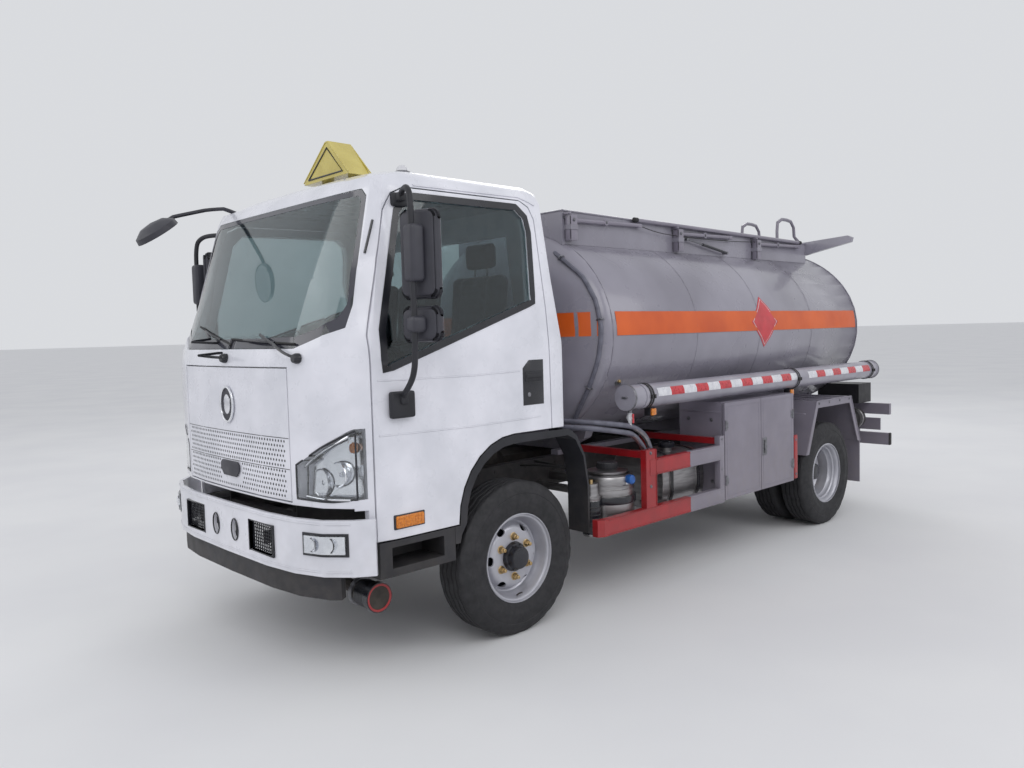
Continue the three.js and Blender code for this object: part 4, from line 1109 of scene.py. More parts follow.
def headlamp(word, side):
    """One headlamp's lens, its bowls and bars, and its seal."""
    part = f"{word}_headlamp"
    small = bmesh.new()
    small.from_mesh(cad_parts[part].data)
    bmesh.ops.remove_doubles(small, verts=small.verts, dist=0.05 * MM)
    skin = [f for f in small.faces if f.normal.y < -0.15 or f.normal.x * side > 0.75]
    outer = [f for f in skin if abs(f.normal.z) < 0.5]
    bmesh.ops.delete(small, geom=[f for f in small.faces if f not in outer], context="FACES")
    bmesh.ops.solidify(small, geom=list(small.faces), thickness=3 * MM)
    lens = shown(f"{part}_lens", small, "lens")
    lens.data.shade_smooth()
    lens.data.set_sharp_from_angle(angle=radians(40))
    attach(lens, "cab")
    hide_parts(part)

    tree = hits([part])
    inside = Form(side).use("chrome")
    points = []
    for i in range(13):
        u = 612 + 280 * i / 12
        top = 990 + (u - 612) * 0.6 if u < 890 else 1160
        for k in range(9):
            v = 850 + (min(top, 1156) - 850) * k / 8
            spot = tree.ray_cast(at(side * u, -2400, v), Vector((0, 1, 0)))[0]
            points.append((u, min((local(spot)[1] if spot else -960) + 52, -905), v))
    corners = [i * 9 + k for i in range(12) for k in range(8)]
    inside.take(points, [[a, a + 1, a + 10, a + 9] for a in corners])
    for cx, cz, cy, r in ((700, 918, -1000, 62), (800, 960, -966, 56)):
        bowl = [(0, 44), (r * 0.3, 42), (r * 0.6, 34), (r * 0.85, 20), (r, 2), (r + 4, 0), (r + 4, 6)]
        inside.lathe(bowl, (cx, cy - 14, cz), "Y", 32)
        inside.lathe([(0, 8), (9, 10), (13, 20), (13, 42)], (cx, cy - 14, cz), "Y", 16)
    for k in range(4):
        inside.block(
            640 + 60 * k, 646 + 60 * k, -985 + 14 * k, -930 + 10 * k, 1000 + 34 * k, 1026 + 34 * k, 2,
        )
    inside.use("amber").lathe([(0, 0), (20, 2), (26, 14), (26, 24)], (848, -942, 1080), "Y", 24)
    inside.use("chrome").tube([(625, -1046, 990), (740, -1028, 1062), (868, -962, 1136)], 6, 8, 8)
    inside.tube([(640, -1048, 856), (760, -1026, 852), (868, -962, 852)], 6, 8, 8)
    inside.done(f"{part}_chrome", "cab", "lamp_chrome")
    lip = Form().use("trim")
    shell = hits([part, "cab_shell", "front_panel", f"{word}_door"])
    line = [(606, 846), (800, 842), (884, 852), (884, 1158), (606, 1000)]
    line = [(side * u, v) for u, v in line] + [(side * 606, 846)]
    ribbon(lip, shell, fine(line, 22), 9, *FROM_FRONT, 2.2)
    lip.done(f"{part}_seal", "cab", "black_plastic")


class TRUCK_OT_lamps(bpy.types.Operator):
    """Build the headlamps: chrome bowls and bars behind a clear lens, with a sealing lip"""

    bl_idname = "truck.lamps"
    bl_label = "Headlamps"

    def execute(self, context):
        for word, side in SIDES.items():
            headlamp(word, side)
        return {"FINISHED"}


def bumper_side(tree, word, side):
    """The fog lamp and mesh at one end of the bumper."""
    form = Form()
    for name, x0, x1, z0, z1, thick in (
        ("trim", 694, 892, 606, 710, 4), (
            "chrome", 706, 880, 618, 698, 6.5,
        ), ("lens", 704, 882, 616, 700, 13),
    ):
        lines = [[(side * (x0 + (x1 - x0) * k / 12), z) for k in range(13)] for z in (z0, z1)]
        form.use(name)
        between(form, tree, *lines, 60, *FROM_FRONT, thick)
    form.use("chrome")
    for x in (752, 834):
        place, out = lay(tree, (side * x, -2400, 658), (0, 1, 0))
        spot = local(place + out * 3 * MM)
        form.lathe([(0, 2), (16, 0), (30, -7), (33, -8)], spot, "Y", 24)
    form.done(f"{word}_fog_lamp", "chassis", "lamp_chrome")
    mesh = Form(side).use("trim")
    for row in range(9):
        z = 574 + 16 * row
        mesh.block(262, 488, -1136, -1130, z, z + 3.5, 1)
    for col in range(12):
        x = 268 + 19 * col
        mesh.block(x, x + 3.5, -1138, -1132, 568, 708, 1)
    mesh.block(256, 262, -1160, -1128, 562, 714, 1.5)
    mesh.block(488, 494, -1156, -1128, 562, 714, 1.5)
    mesh.block(262, 488, -1157, -1132, 562, 568, 1.5)
    mesh.block(262, 488, -1157, -1132, 708, 714, 1.5)
    mesh.done(f"{word}_bumper_mesh", "chassis", "black_plastic")


class TRUCK_OT_bumper(bpy.types.Operator):
    """Build the bumper's fog lamps, mesh and tow cover"""

    bl_idname = "truck.bumper"
    bl_label = "Bumper fittings"

    def execute(self, context):
        tree = hits(["front_bumper"])
        for word, side in SIDES.items():
            bumper_side(tree, word, side)
        form = Form().use("trim")
        for x in (-107, 107):
            form.tube(hoop(x, -1161, 638, 36, 54, 32), 3.4, 8, 1, ends=False)
            form.plate(oval(x, 638, 34, 52, 28), -1140, -1136, "Y", 1)
        form.done("tow_eye_rings", "chassis", "black_plastic")
        lower = Form().use("cab")
        ribbon(lower, tree, fine([(-900, 752), (0, 752), (900, 752)], 40), 8, *FROM_FRONT, 2.4)
        ribbon(lower, tree, fine([(-900, 536), (0, 536), (900, 536)], 40), 8, *FROM_FRONT, 2.0)
        lower.done("bumper_swage", "chassis", "cab_paint")
        return {"FINISHED"}


def turned(degrees, to, middle):
    """A turn across the truck about a middle, which is then moved to a place."""
    return Matrix.Translation(to) @ Matrix.Rotation(radians(degrees), 4, "X") @ Matrix.Translation(-middle)


def mirror_pair(word, side):
    """One door's two mirrors on their arm."""
    body = f"{word}_door"
    turn = (22.4, 1096, -700)
    form = Form(side)
    for z0, z1 in ((1735, 2124), (1545, 1702)):
        form.use("mirror").plate(rounded(1011, 1181, z0 + 14, z1 - 14, 26), -670, -665, "Y", 1.2, turn)
    form.done(f"{word}_mirror_faces", body, "mirror_glass")
    shell = Form(side).use("housing")
    for z0, z1 in ((1735, 2124), (1545, 1702)):
        shell.plate(rounded(1002, 1190, z0, z1, 34, 7), -727, -667, "Y", 20, turn)
        shell.plate(rounded(1014, 1178, z0 + 12, z1 - 12, 30, 7), -736, -720, "Y", 7, turn)
    shell.use("plastic").tube([
        (884, -652, 2206), (980, -700, 2226), (1080, -750, 2212), (1122, -768, 2140), (1124, -770, 1900),
        (1122, -768, 1560), (1090, -760, 1400), (958, -734, 1290),
    ], 13.5, 14, 7)
    shell.use("housing").block(1086, 1160, -794, -722, 1806, 2054, 20, None, 4)
    shell.block(1088, 1158, -792, -722, 1588, 1660, 20, None, 4)
    shell.use("plastic").block(870, 908, -700, -616, 2166, 2228, 12, None, 3)
    shell.block(886, 940, -690, -650, 2184, 2226, 10, None, 3)
    shell.block(942, 976, -796, -664, 1204, 1326, 12, None, 3)
    shell.block(944, 990, -752, -712, 1268, 1316, 9, None, 3)
    shell.done(f"{word}_mirror_shells", body, "black_plastic", stands_for=(f"{word}_mirrors",))


class TRUCK_OT_mirrors(bpy.types.Operator):
    """Build the mirror faces, their clamps and the arm brackets"""

    bl_idname = "truck.mirrors"
    bl_label = "Mirrors"

    def execute(self, context):
        for word, side in SIDES.items():
            mirror_pair(word, side)
        spot = Form().use("mirror")
        spot.lathe([(0, -20), (60, -19), (112, -15), (114, -13)], (0, 0, 0), "Z", 40)
        made = spot.done("blind_spot_glass", "cab", "mirror_glass")
        made.parent = None
        made.matrix_world = turned(35, at(-620, -1192, 2178), at(0, 0, 0))
        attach(made, "cab")
        return {"FINISHED"}


def cushion(name, box, swell, round_mm):
    """A stuffed pad: a rounded form that cloth pressure puffs up, with sewn channels pressed in after."""
    x0, x1, y0, y1, z0, z1 = box
    mesh = Form().block(x0 + 8, x1 - 8, y0 + 8, y1 - 8, z0 + 6, z1 - 8, round_mm, steps=4).mesh
    bmesh.ops.recalc_face_normals(mesh, faces=mesh.faces)
    made = shown(name, mesh, "fabric")
    bpy.context.view_layer.objects.active = made
    made.select_set(True)
    remesh = made.modifiers.new("remesh", "REMESH")
    remesh.mode, remesh.voxel_size = "VOXEL", 0.014
    bpy.ops.object.modifier_apply(modifier="remesh")
    start = [v.co.copy() for v in made.data.vertices]
    cloth = made.modifiers.new("cloth", "CLOTH")
    cloth.settings.use_pressure = True
    cloth.settings.uniform_pressure_force = 4
    cloth.settings.effector_weights.gravity = 0
    cloth.settings.quality = 4
    cloth.point_cache.frame_start, cloth.point_cache.frame_end = 1, 16
    for step in range(1, 17):
        bpy.context.scene.frame_set(step)
    bpy.ops.object.modifier_apply(modifier="cloth")
    bpy.context.scene.frame_set(1)
    for v, old in zip(made.data.vertices, start):
        if (v.co - old).length > swell:
            v.co = old + (v.co - old).normalized() * swell
    made.select_set(False)
    return made


class TRUCK_OT_cab_inside(bpy.types.Operator):
    """Build the seats' cushions and the dashboard's binnacle and vents"""

    bl_idname = "truck.cab_inside"
    bl_label = "Cab inside"

    def execute(self, context):
        swell = context.scene.truck_sizes.seat_swell
        for word, seats in (("driver_seat", 1), ("passenger_seat", 2)):
            x0, x1, _, _, z0, _ = span(word)
            pads = []
            wide = (x1 - x0) / seats
            base = Form().use("trim_grey")
            base.block(x0 + 44, x1 - 44, -346, 84, z0 + 2, z0 + 46, 8)
            base.use("chassis").block(x0 + 60, x0 + 100, -380, 60, z0 + 1, z0 + 30, 3)
            base.block(x1 - 100, x1 - 60, -380, 60, z0 + 1, z0 + 30, 3)
            base.use("plastic").block(x0 + 2, x0 + 26, 60, 150, z0 + 110, z0 + 200, 8)
            base.done(f"{word}_base", "cab", "black_plastic", stands_for=(word,))
            for k in range(seats):
                a, b = x0 + wide * k + 4, x0 + wide * (k + 1) - 4
                seat = cushion(f"{word}_cushion_{k + 1}", (a, b, -416, 110, z0 + 46, 1366), swell, 50)
                back = cushion(f"{word}_back_{k + 1}", (a + 12, b - 12, 66, 176, 1316, 1920), swell, 44)
                back.data.transform(turned(-6, at(0, 120, 1330), at(0, 120, 1330)))
                middle = (a + b) / 2
                rest = cushion(
                    f"{word}_headrest_{k + 1}", (middle - 124, middle + 124, 150, 226, 1930, 2086), swell, 30
                )
                for pad, grooves in ((seat, True), (back, True), (rest, False)):
                    groove(pad, grooves)
                    pads.append(pad)
                stems = Form().use("zinc")
                for x in (middle - 50, middle + 50):
                    stems.tube([(x, 186, 1890), (x, 190, 1960)], 7, 8, 1)
                stems.done(f"{word}_stems_{k + 1}", "cab")
            for pad in pads:
                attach(pad, "cab")
        board = Form().use("plastic")
        board.block(300, 660, -880, -700, 1430, 1500, 24, (14, "X"), 4)
        board.use("trim").block(330, 630, -722, -716, 1420, 1484, 4)
        for x in (-640, -250, 60, 720):
            for k in range(5):
                board.block(x, x + 84, -738, -728, 1392 + 9 * k, 1396 + 9 * k, 1)
        board.use("trim_grey").block(-120, 150, -736, -722, 1210, 1360, 8)
        board.use("trim").block(-96, 126, -724, -718, 1300, 1346, 3)
        for k in range(3):
            board.use("plastic").lathe([(0, 12), (16, 12), (18, 0)], (-60 + 75 * k, -720, 1256), "Y", 20)
        board.done("dashboard_fittings", "cab", "black_plastic")
        return {"FINISHED"}


def groove(pad, channels):
    """Presses sewn channels across a pad, softens it with a subdivision and gives it smooth faces."""
    low = [min(v.co[i] for v in pad.data.vertices) for i in range(3)]
    high = [max(v.co[i] for v in pad.data.vertices) for i in range(3)]
    middle = (low[0] + high[0]) / 2
    half = (high[0] - low[0]) / 2
    for v in pad.data.vertices:
        u = abs(v.co.x - middle) / half
        seam = exp(-(((u - 0.52) * half / 0.011) ** 2))
        along = (v.co.y - low[1]) if high[2] - low[2] < high[1] - low[1] else (v.co.z - low[2])
        rib = (exp(-(((along % 0.11 - 0.055) / 0.009) ** 2)) * (1 if u < 0.5 else 0)) if channels else 0
        v.co -= v.normal * (0.006 * seam + 0.004 * rib if channels else 0)
    smooth = pad.modifiers.new("soften", "SUBSURF")
    smooth.levels = smooth.render_levels = 1
    pad.data.shade_smooth()


class TRUCK_OT_roof(bpy.types.Operator):
    """Build the roof sign's frame, the roof lamp and the cab's gutter"""

    bl_idname = "truck.roof"
    bl_label = "Roof"

    def execute(self, context):
        x0, x1, y0, y1, z0, z1 = span("roof_sign")
        form = Form().use("trim")
        for y in (y0 - 0.5, y1 + 0.5):
            form.tube([(-168, y, 2459), (184, y, 2459), (34, y, 2604), (-168, y, 2459)], 5, 8, 1)
        form.use("yellow")
        for y in (y0, y1):
            form.tube([(x0, y, z0 + 58), (18, y, z1 - 6), (46, y, z1 - 6), (x1, y, z0 + 58)], 4, 8, 1)
        form.use("housing").block(-150, -120, -434, -370, 2388, 2440, 3)
        form.block(120, 150, -434, -370, 2388, 2440, 3)
        form.done("roof_sign_frame", "cab", "black_plastic")
        shell = hits(["cab_shell"])
        place, out = lay(shell, (636, -448, 3000), (0, 0, -1))
        lamp = Form().use("zinc")
        z = place.z / MM
        lamp.lathe([(0, z - 8), (40, z - 8), (40, z + 5), (32, z + 10)], (636, -448, 0), "Z", 24)
        lamp.use("nylon").lathe(
            [(30, z + 8), (27, z + 24), (16, z + 36), (0, z + 40)], (636, -448, 0), "Z", 24,
        )
        lamp.done("roof_dome", "cab", "lamp_lens")
        for word, side in SIDES.items():
            gutter = Form().use("cab")
            ribbon(
                gutter, hits(["cab_shell", f"{word}_door"]), fine(
                    [(-560, 2276), (120, 2284), (230, 2250)], 40,
                ), 9,
                *from_side(side), 5,
            )
            gutter.done(f"{word}_gutter", "cab", "cab_paint")
        return {"FINISHED"}


# ---- Tank ---------------------------------------------------------------------------------------
TANK = {"a": 867, "b": 700, "z": 1545, "front": 870, "rear": 4200, "dish": 175}


def ellipse_at(angle, grow=0):
    """A point of the tank's cross-section, from an angle above its side."""
    t = radians(angle)
    return (TANK["a"] + grow) * cos(t), TANK["z"] + (TANK["b"] + grow) * sin(t)


def band(form, y0, y1, start, end, proud, steps=24, side=1):
    """A thin sheet wrapped on the tank's side between two angles and two places along it."""
    points, faces = [], []
    for lift in (0.2, proud):
        for i in range(steps + 1):
            x, z = ellipse_at(start + (end - start) * i / steps, lift)
            for y in (y0, y1):
                points.append((side * x, y, z))
    row = 2 * (steps + 1)
    for i in range(steps):
        a = 2 * i
        faces.append([row + a, row + a + 1, row + a + 3, row + a + 2])
        faces.append([a, row + a, row + a + 2, a + 2])
        faces.append([a + 1, a + 3, row + a + 3, row + a + 1])
    faces.append([0, 1, row + 1, row])
    faces.append([2 * steps, row + 2 * steps, row + 2 * steps + 1, 2 * steps + 1])
    form.take(points, faces)


def tank_side(tree, word, side):
    """The blank placard and the feet on one side of the tank."""
    card = Form()
    for half, name, thick in ((186, "placard", 2.2), (168, "nylon", 2.8), (162, "placard", 3.4)):
        rows, outs = [], []
        for i in range(13):
            row = []
            for k in range(13):
                u, v = (i - k) / 12 * half, (i + k - 12) / 12 * half
                place, out = lay(tree, (side * 2400, 2640 + u, 1606 + v), (-side, 0, 0))
                row.append(place + out * 0.3 * MM)
                outs.append(out)
            rows.append(row)
        card.use(name).strip(rows, thick, outs)
    card.done(f"{word}_blank_placard", "chassis", "guard_red")
    fit = Form(side).use("tank")
    for y in (1100, 2300, 3350, 4060):
        x, z = ellipse_at(-58)
        fit.block(x - 50, x + 16, y - 40, y + 40, z - 60, z + 16, 5, (28, "Y"))
    fit.done(f"{word}_tank_feet", "chassis", "tank_paint")


class TRUCK_OT_tank(bpy.types.Operator):
    """Build the tank's stripe, weld seams, blank placards and earthing stud"""

    bl_idname = "truck.tank"
    bl_label = "Tank fittings"

    def execute(self, context):
        sizes = context.scene.truck_sizes
        low = degrees(asin((sizes.stripe_low / MM - TANK["z"]) / TANK["b"]))
        high = degrees(asin((sizes.stripe_high / MM - TANK["z"]) / TANK["b"]))
        stripe = Form().use("orange")
        for side in (1, -1):
            band(stripe, 918, 4153, low, high, 0.9, 12, side)
        tree = hits(["tank"])
        for way, start in (((0, 1, 0), -2400), ((0, -1, 0), 7000)):
            rows, outs = [], []
            for i in range(11):
                z = (sizes.stripe_low + (sizes.stripe_high - sizes.stripe_low) * i / 10) / MM
                row = []
                for k in range(33):
                    x = -810 + 1620 * k / 32
                    place, out = lay(tree, (x, start, z), way)
                    row.append(place + out * 0.3 * MM)
                    outs.append(out)
                rows.append(row)
            stripe.strip(rows, 0.9, outs)
        stripe.done("tank_stripe", "chassis", "stripe_orange")

        seams = Form().use("tank")
        for y in (884, 1760, 2560, 3360, 4186):
            ring = hoop(0, y, TANK["z"], TANK["a"] + 0.4, TANK["b"] + 0.4, 96)
            seams.tube(ring, 3.0 if y in (884, 4186) else 0.8, 6, 1, ends=False)
        seams.done("tank_weld_seams", "chassis", "tank_paint")

        for word, side in SIDES.items():
            tank_side(tree, word, side)
        stud = Form().use("brass")
        x, z = ellipse_at(-24)
        stud.bolt((x - 2, 1010, z), "X", 22, 18)
        stud.use("zinc").block(x - 6, x + 3, 985, 1035, z - 26, z + 26, 3)
        stud.done("earthing_stud", "chassis", "brass")
        return {"FINISHED"}


def walkway():
    """The grating, beads, brackets, strut and manhole fittings."""
    form = Form().use("tank")
    for x in (-500, 500):
        form.tube([(x, 860, 2322), (x, 2400, 2302), (x, 3984, 2283)], 7, 8, 1)
    form.tube([(-500, 856, 2322), (500, 856, 2322)], 7, 8, 1)
    form.done("coaming_beads", "chassis", "tank_paint")
    deck = Form().use("zinc")
    tree = hits(["tank"])
    for k in range(44):
        y = 900 + 70 * k
        if 2160 < y < 2680:
            continue
        deck.block(-470, 470, y - 3, y + 3, 2250, 2262, 1)
    for x in (-470, -240, 0, 240, 470):
        for ya, yb in ((880, 2160), (2690, 3970)):
            deck.block(x - 4, x + 4, ya, yb, 2236, 2256, 1)
    for x in (-240, 240):
        for y in (960, 1500, 2100, 2740, 3300, 3900):
            place, out = lay(tree, (x, y, 3000), (0, 0, -1))
            deck.block(x - 6, x + 6, y - 6, y + 6, place.z / MM - 1, 2240, 1)
    deck.done("walkway_grating", "chassis", "bare_aluminium")
    posts = []
    for name in ("front", "middle", "rear"):
        _, _, y0, _, z0, z1 = span(f"handrail_{name}_post")
        key, z = y0 + 20, z0 + 20
        posts.append((key, z))
        bracket = Form().use("guard")
        for x in (503, 546):
            bracket.plate(rounded(key - 32, key + 32, z - 128, z + 30, 8), x, x + 6, "X", 1.5)
        bracket.block(503, 552, key - 32, key - 26, z - 128, z + 30, 1.5)
        bracket.block(500, 556, key - 44, key - 26, z + 32, z + 44, 3)
        bracket.use("zinc").bolt((552, key, z), "X", 18, 8)
        bracket.lathe([(0, 0), (9, 0), (9, 8), (0, 8)], (500, key - 36, z + 18), "X", 14)
        bracket.done(f"handrail_{name}_bracket", "chassis", "guard_paint")
        knuckle = Form().use("guard").lathe(
            [(0, -13), (21, -13), (21, 13), (0, 13)], (526, key + 330, z + 7), "X", 20,
        )
        knuckle.use("zinc").bolt((539, key + 330, z + 7), "X", 14, 5)
        knuckle.use("guard").block(511, 541, key + 655, key + 700, z - 4, z + 24, 5)
        knuckle.done(f"handrail_{name}_knuckle", f"handrail_{name}_post", "guard_paint")
    rail = span("handrail_rail")
    x = (rail[0] + rail[1]) / 2
    ends = Form().use("rubber")
    for y, z, way in ((rail[2], rail[5] - 14, -1), (rail[3], rail[4] + 14, 1)):
        ends.lathe([
            (0, way * 5), (12, way * 5), (16.5, 0), (16.5, -34 * way), (14.4, -34 * way),
        ], (x, y, z), "Y", 16)
    ends.done("handrail_rail_caps", "handrail_rail", "rubber")
    strut = Form().use("zinc")
    key, z = posts[1]
    strut.tube([(530, key + 110, z - 34), (532, key + 300, z - 62)], 5, 10, 1)
    strut.use("trim").tube([(532, key + 300, z - 62), (536, key + 610, z - 108)], 10, 12, 1)
    strut.use("zinc").lathe([(0, -8), (11, -8), (11, 8), (0, 8)], (528, key + 106, z - 34), "X", 14)
    strut.lathe([(0, -8), (11, -8), (11, 8), (0, 8)], (536, key + 622, z - 110), "X", 14)
    strut.block(500, 534, key + 98, key + 114, z - 42, z - 28, 2)
    strut.block(500, 540, key + 612, key + 632, z - 118, z - 102, 2)
    cable = [(
        534, posts[0][0] + 700, 2268,
    ), (540, 1830, 2236), (541, 2240, 2226), (540, 2700, 2232), (534, 3090, 2246)]
    strut.use("rubber").tube(cable, 3, 6, 6)
    strut.done("handrail_gas_strut", "chassis", "guard_paint")

    lid = Form()
    cx, cy, top = 0, 2420, 2291
    lid.use("aluminium").lathe([(205, 28), (212, 33), (205, 38), (196, 34)], (cx, cy, top), "Z", 48)
    lid.use("zinc")
    for c, s in around(6, 30):
        lid.bolt((222 * c, cy + 222 * s, top + 14), "Z", 24, 14)
    lid.use("aluminium").lathe([(0, 46), (58, 46), (66, 40), (66, 30)], (80, cy + 30, top), "Z", 32)
    lid.use("brass").lathe([(0, 74), (22, 74), (30, 66), (30, 44)], (-90, cy - 40, top), "Z", 24)
    lid.use("zinc").tube([(
        -70, cy + 110, top + 26,
    ), (-70, cy + 110, top + 66), (70, cy + 110, top + 66), (70, cy + 110, top + 26)], 7, 8, 4)
    lid.done("manhole_fittings", "manhole_lid", "bare_aluminium")
    neck = Form().use("zinc")
    for c, s in around(16):
        neck.bolt((258 * c, cy + 258 * s, 2264), "Z", 20, 12)
    neck.use("tank").lathe([(250, 2252), (276, 2252), (276, 2266), (250, 2266)], (cx, cy, 0), "Z", 48)
    neck.done("manhole_flange", "chassis", "tank_paint")
    ladder = Form().use("rubber")
    for i in range(5):
        z = 1010 + 270 * i
        for x in range(-50, 262, 22):
            ladder.lathe([(12.2, -5), (14, -5), (14, 5), (12.2, 5)], (x, 4410, z), "X", 10)
    ladder.done("ladder_grips", "chassis", "rubber")


class TRUCK_OT_walkway(bpy.types.Operator):
    """Build the walkway's grating, edge beads, handrail brackets, gas strut and the manhole's fittings"""

    bl_idname = "truck.walkway"
    bl_label = "Walkway and handrail"

    def execute(self, context):
        walkway()
        return {"FINISHED"}


# ---- Sides --------------------------------------------------------------------------------------
def hose_tube(word, side):
    """One hose tube's clamps, tape, marker lamps and drain valve."""
    part = f"{word}_hose_tube"
    _, _, y0, y1, _, _ = span(part)
    x, z = 962, 1176
    form = Form(side).use("chassis")
    for y in (1010, 1035, 2800, 2826, 4090, 4116):
        form.lathe([(76.4, y), (79, y), (79, y + 12), (76.4, y + 12)], (x, 0, z), "Y", 36)
        form.block(x + 74, x + 90, y - 2, y + 14, z - 12, z + 12, 2)
    form.use("zinc").block(x - 20, x + 20, y0 - 7, y0, z - 6, z + 6, 2)
    form.lathe([(78.5, y0 + 2), (80.5, y0 + 6), (80.5, y0 + 16), (78.5, y0 + 20)], (x, 0, z), "Y", 36)
    form.lathe([(78.5, y1 - 20), (80.5, y1 - 16), (80.5, y1 - 6), (78.5, y1 - 2)], (x, 0, z), "Y", 36)
    form.done(f"{part}_clamps", "chassis", "guard_paint")
    tape = Form(side)
    y, k = 1090, 0
    while y < 4060:
        if not 2770 < y < 2850:
            tape.use("tape_red" if k % 2 else "tape_white")
            tape.lathe(
                [(72.4, y), (73.2, y), (73.2, y + 134), (72.4, y + 134)], (x, 0, z), "Y", 8, sweep=(-4, 38),
            )
        y += 135
        k += 1
    tape.done(f"{part}_tape", "chassis", "white_strip")
    lamps = Form(side)
    for y in (1085, 2780):
        lamps.use("plastic").block(x - 14, x + 34, y - 26, y + 26, z - 122, z - 74, 4)
        lamps.use("amber").block(x + 30, x + 44, y - 23, y + 23, z - 120, z - 78, 5)
        lamps.use("plastic").block(x - 4, x + 12, y - 8, y + 8, z - 84, z - 66, 2)
    lamps.done(f"{word}_marker_lamps", "chassis", "lamp_amber")
    valve = Form(side)
    valve.use("zinc").lathe([(0, -72), (12, -74), (12, -92), (8, -94)], (x, 905, z), "Z", 16)
    valve.use("nylon").lathe([
        (8, -92), (15, -94), (15, -104), (18, -108), (18, -136), (13, -140), (13, -150), (9, -152),
    ], (x, 905, z), "Z", 18)
    valve.block(x - 22, x + 22, 894, 916, z - 130, z - 112, 5)
    valve.use("tape_red").block(x + 20, x + 27, 898, 912, z - 152, z - 96, 3)
    valve.use("nylon").lathe([(9, -150), (9, -176), (5.5, -176), (5.5, -160)], (x, 905, z), "Z", 14)
    valve.done(f"{word}_drain_valve", "chassis", "white_strip")


class TRUCK_OT_hose_tubes(bpy.types.Operator):
    """Build the hose tubes' clamps, caps, reflective tape, drain valve and marker lamps"""

    bl_idname = "truck.hose_tubes"
    bl_label = "Hose tubes"

    def execute(self, context):
        for word, side in SIDES.items():
            hose_tube(word, side)
        return {"FINISHED"}


def locker(word, side):
    """One locker's edges, hinges, lock plates and gasket."""
    front = span(f"{word}_toolbox_front_door")
    rear = span(f"{word}_toolbox_rear_door")
    z0, z1 = front[4], front[5]
    for key, box, hinge in (("front", front, front[2] + 9), ("rear", rear, rear[3] - 9)):
        form = Form(side).use("guard")
        a, b = box[2] + 26, box[3] - 26
        low, high = z0 + 26, z1 - 26
        for ya, za, yb, zb in ((a, low, a, high), (b, low, b, high), (a, low, b, low), (a, high, b, high)):
            form.tube([(1040, ya, za), (1040, yb, zb)], 1.3, 6, 1)
        for z in (z0 + 130, z1 - 150):
            form.use("zinc").lathe([(0, -34), (6, -34), (6, 34), (0, 34)], (1042.5, hinge, z), "Z", 12)
            inward = 1 if key == "front" else -1
            ya, yb = sorted((hinge + inward * 2, hinge + inward * 30))
            form.block(1039, 1043, ya, yb, z - 26, z + 26, 1.2)
            for dz in (-15, 15):
                form.lathe([(0, 3.6), (4, 3), (5, 0)], (1042.5, hinge + inward * 20, z + dz), "X", 10)
        if key == "rear":
            y = box[2] + 40
            form.use("zinc").block(1039, 1043.5, y - 26, y + 32, 668, 792, 3)
            form.use("trim").block(1042, 1045, y - 14, y + 10, 684, 776, 3)
            form.use("zinc").block(1043, 1052, y - 8, y + 4, 700, 758, 3)
            form.lathe([(0, 5), (9, 5), (10, 0)], (1043, y + 18, 730), "X", 16)
        form.done(f"{word}_locker_{key}_door_fittings", f"{word}_toolbox_{key}_door", "guard_paint")
    body = Form(side).use("rubber")
    _, _, y0, y1, low, high = span(f"{word}_toolbox")
    for y in (y0 + 38, y1 - 38):
        body.tube([(1017, y, low + 38), (1017, y, high - 38)], 3, 6, 1)
    for z in (low + 38, high - 38):
        body.tube([(1017, y0 + 38, z), (1017, y1 - 38, z)], 3, 6, 1)
    body.use("guard").block(700, 1012, y0 - 3, y0, low + 60, low + 70, 1)
    body.block(700, 1012, y0 - 3, y0, high - 70, high - 60, 1)
    body.use("zinc")
    for z in (low + 120, high - 120):
        for x in (760, 940):
            body.bolt((x, y0, z), "Y", 18, 7, -1)
    body.done(f"{word}_locker_gasket", "chassis", "rubber")


class TRUCK_OT_lockers(bpy.types.Operator):
    """Build the lockers' door edges, hinges, lock plates and frame gaskets"""

    bl_idname = "truck.lockers"
    bl_label = "Tool lockers"

    def execute(self, context):
        for word, side in SIDES.items():
            locker(word, side)
        return {"FINISHED"}


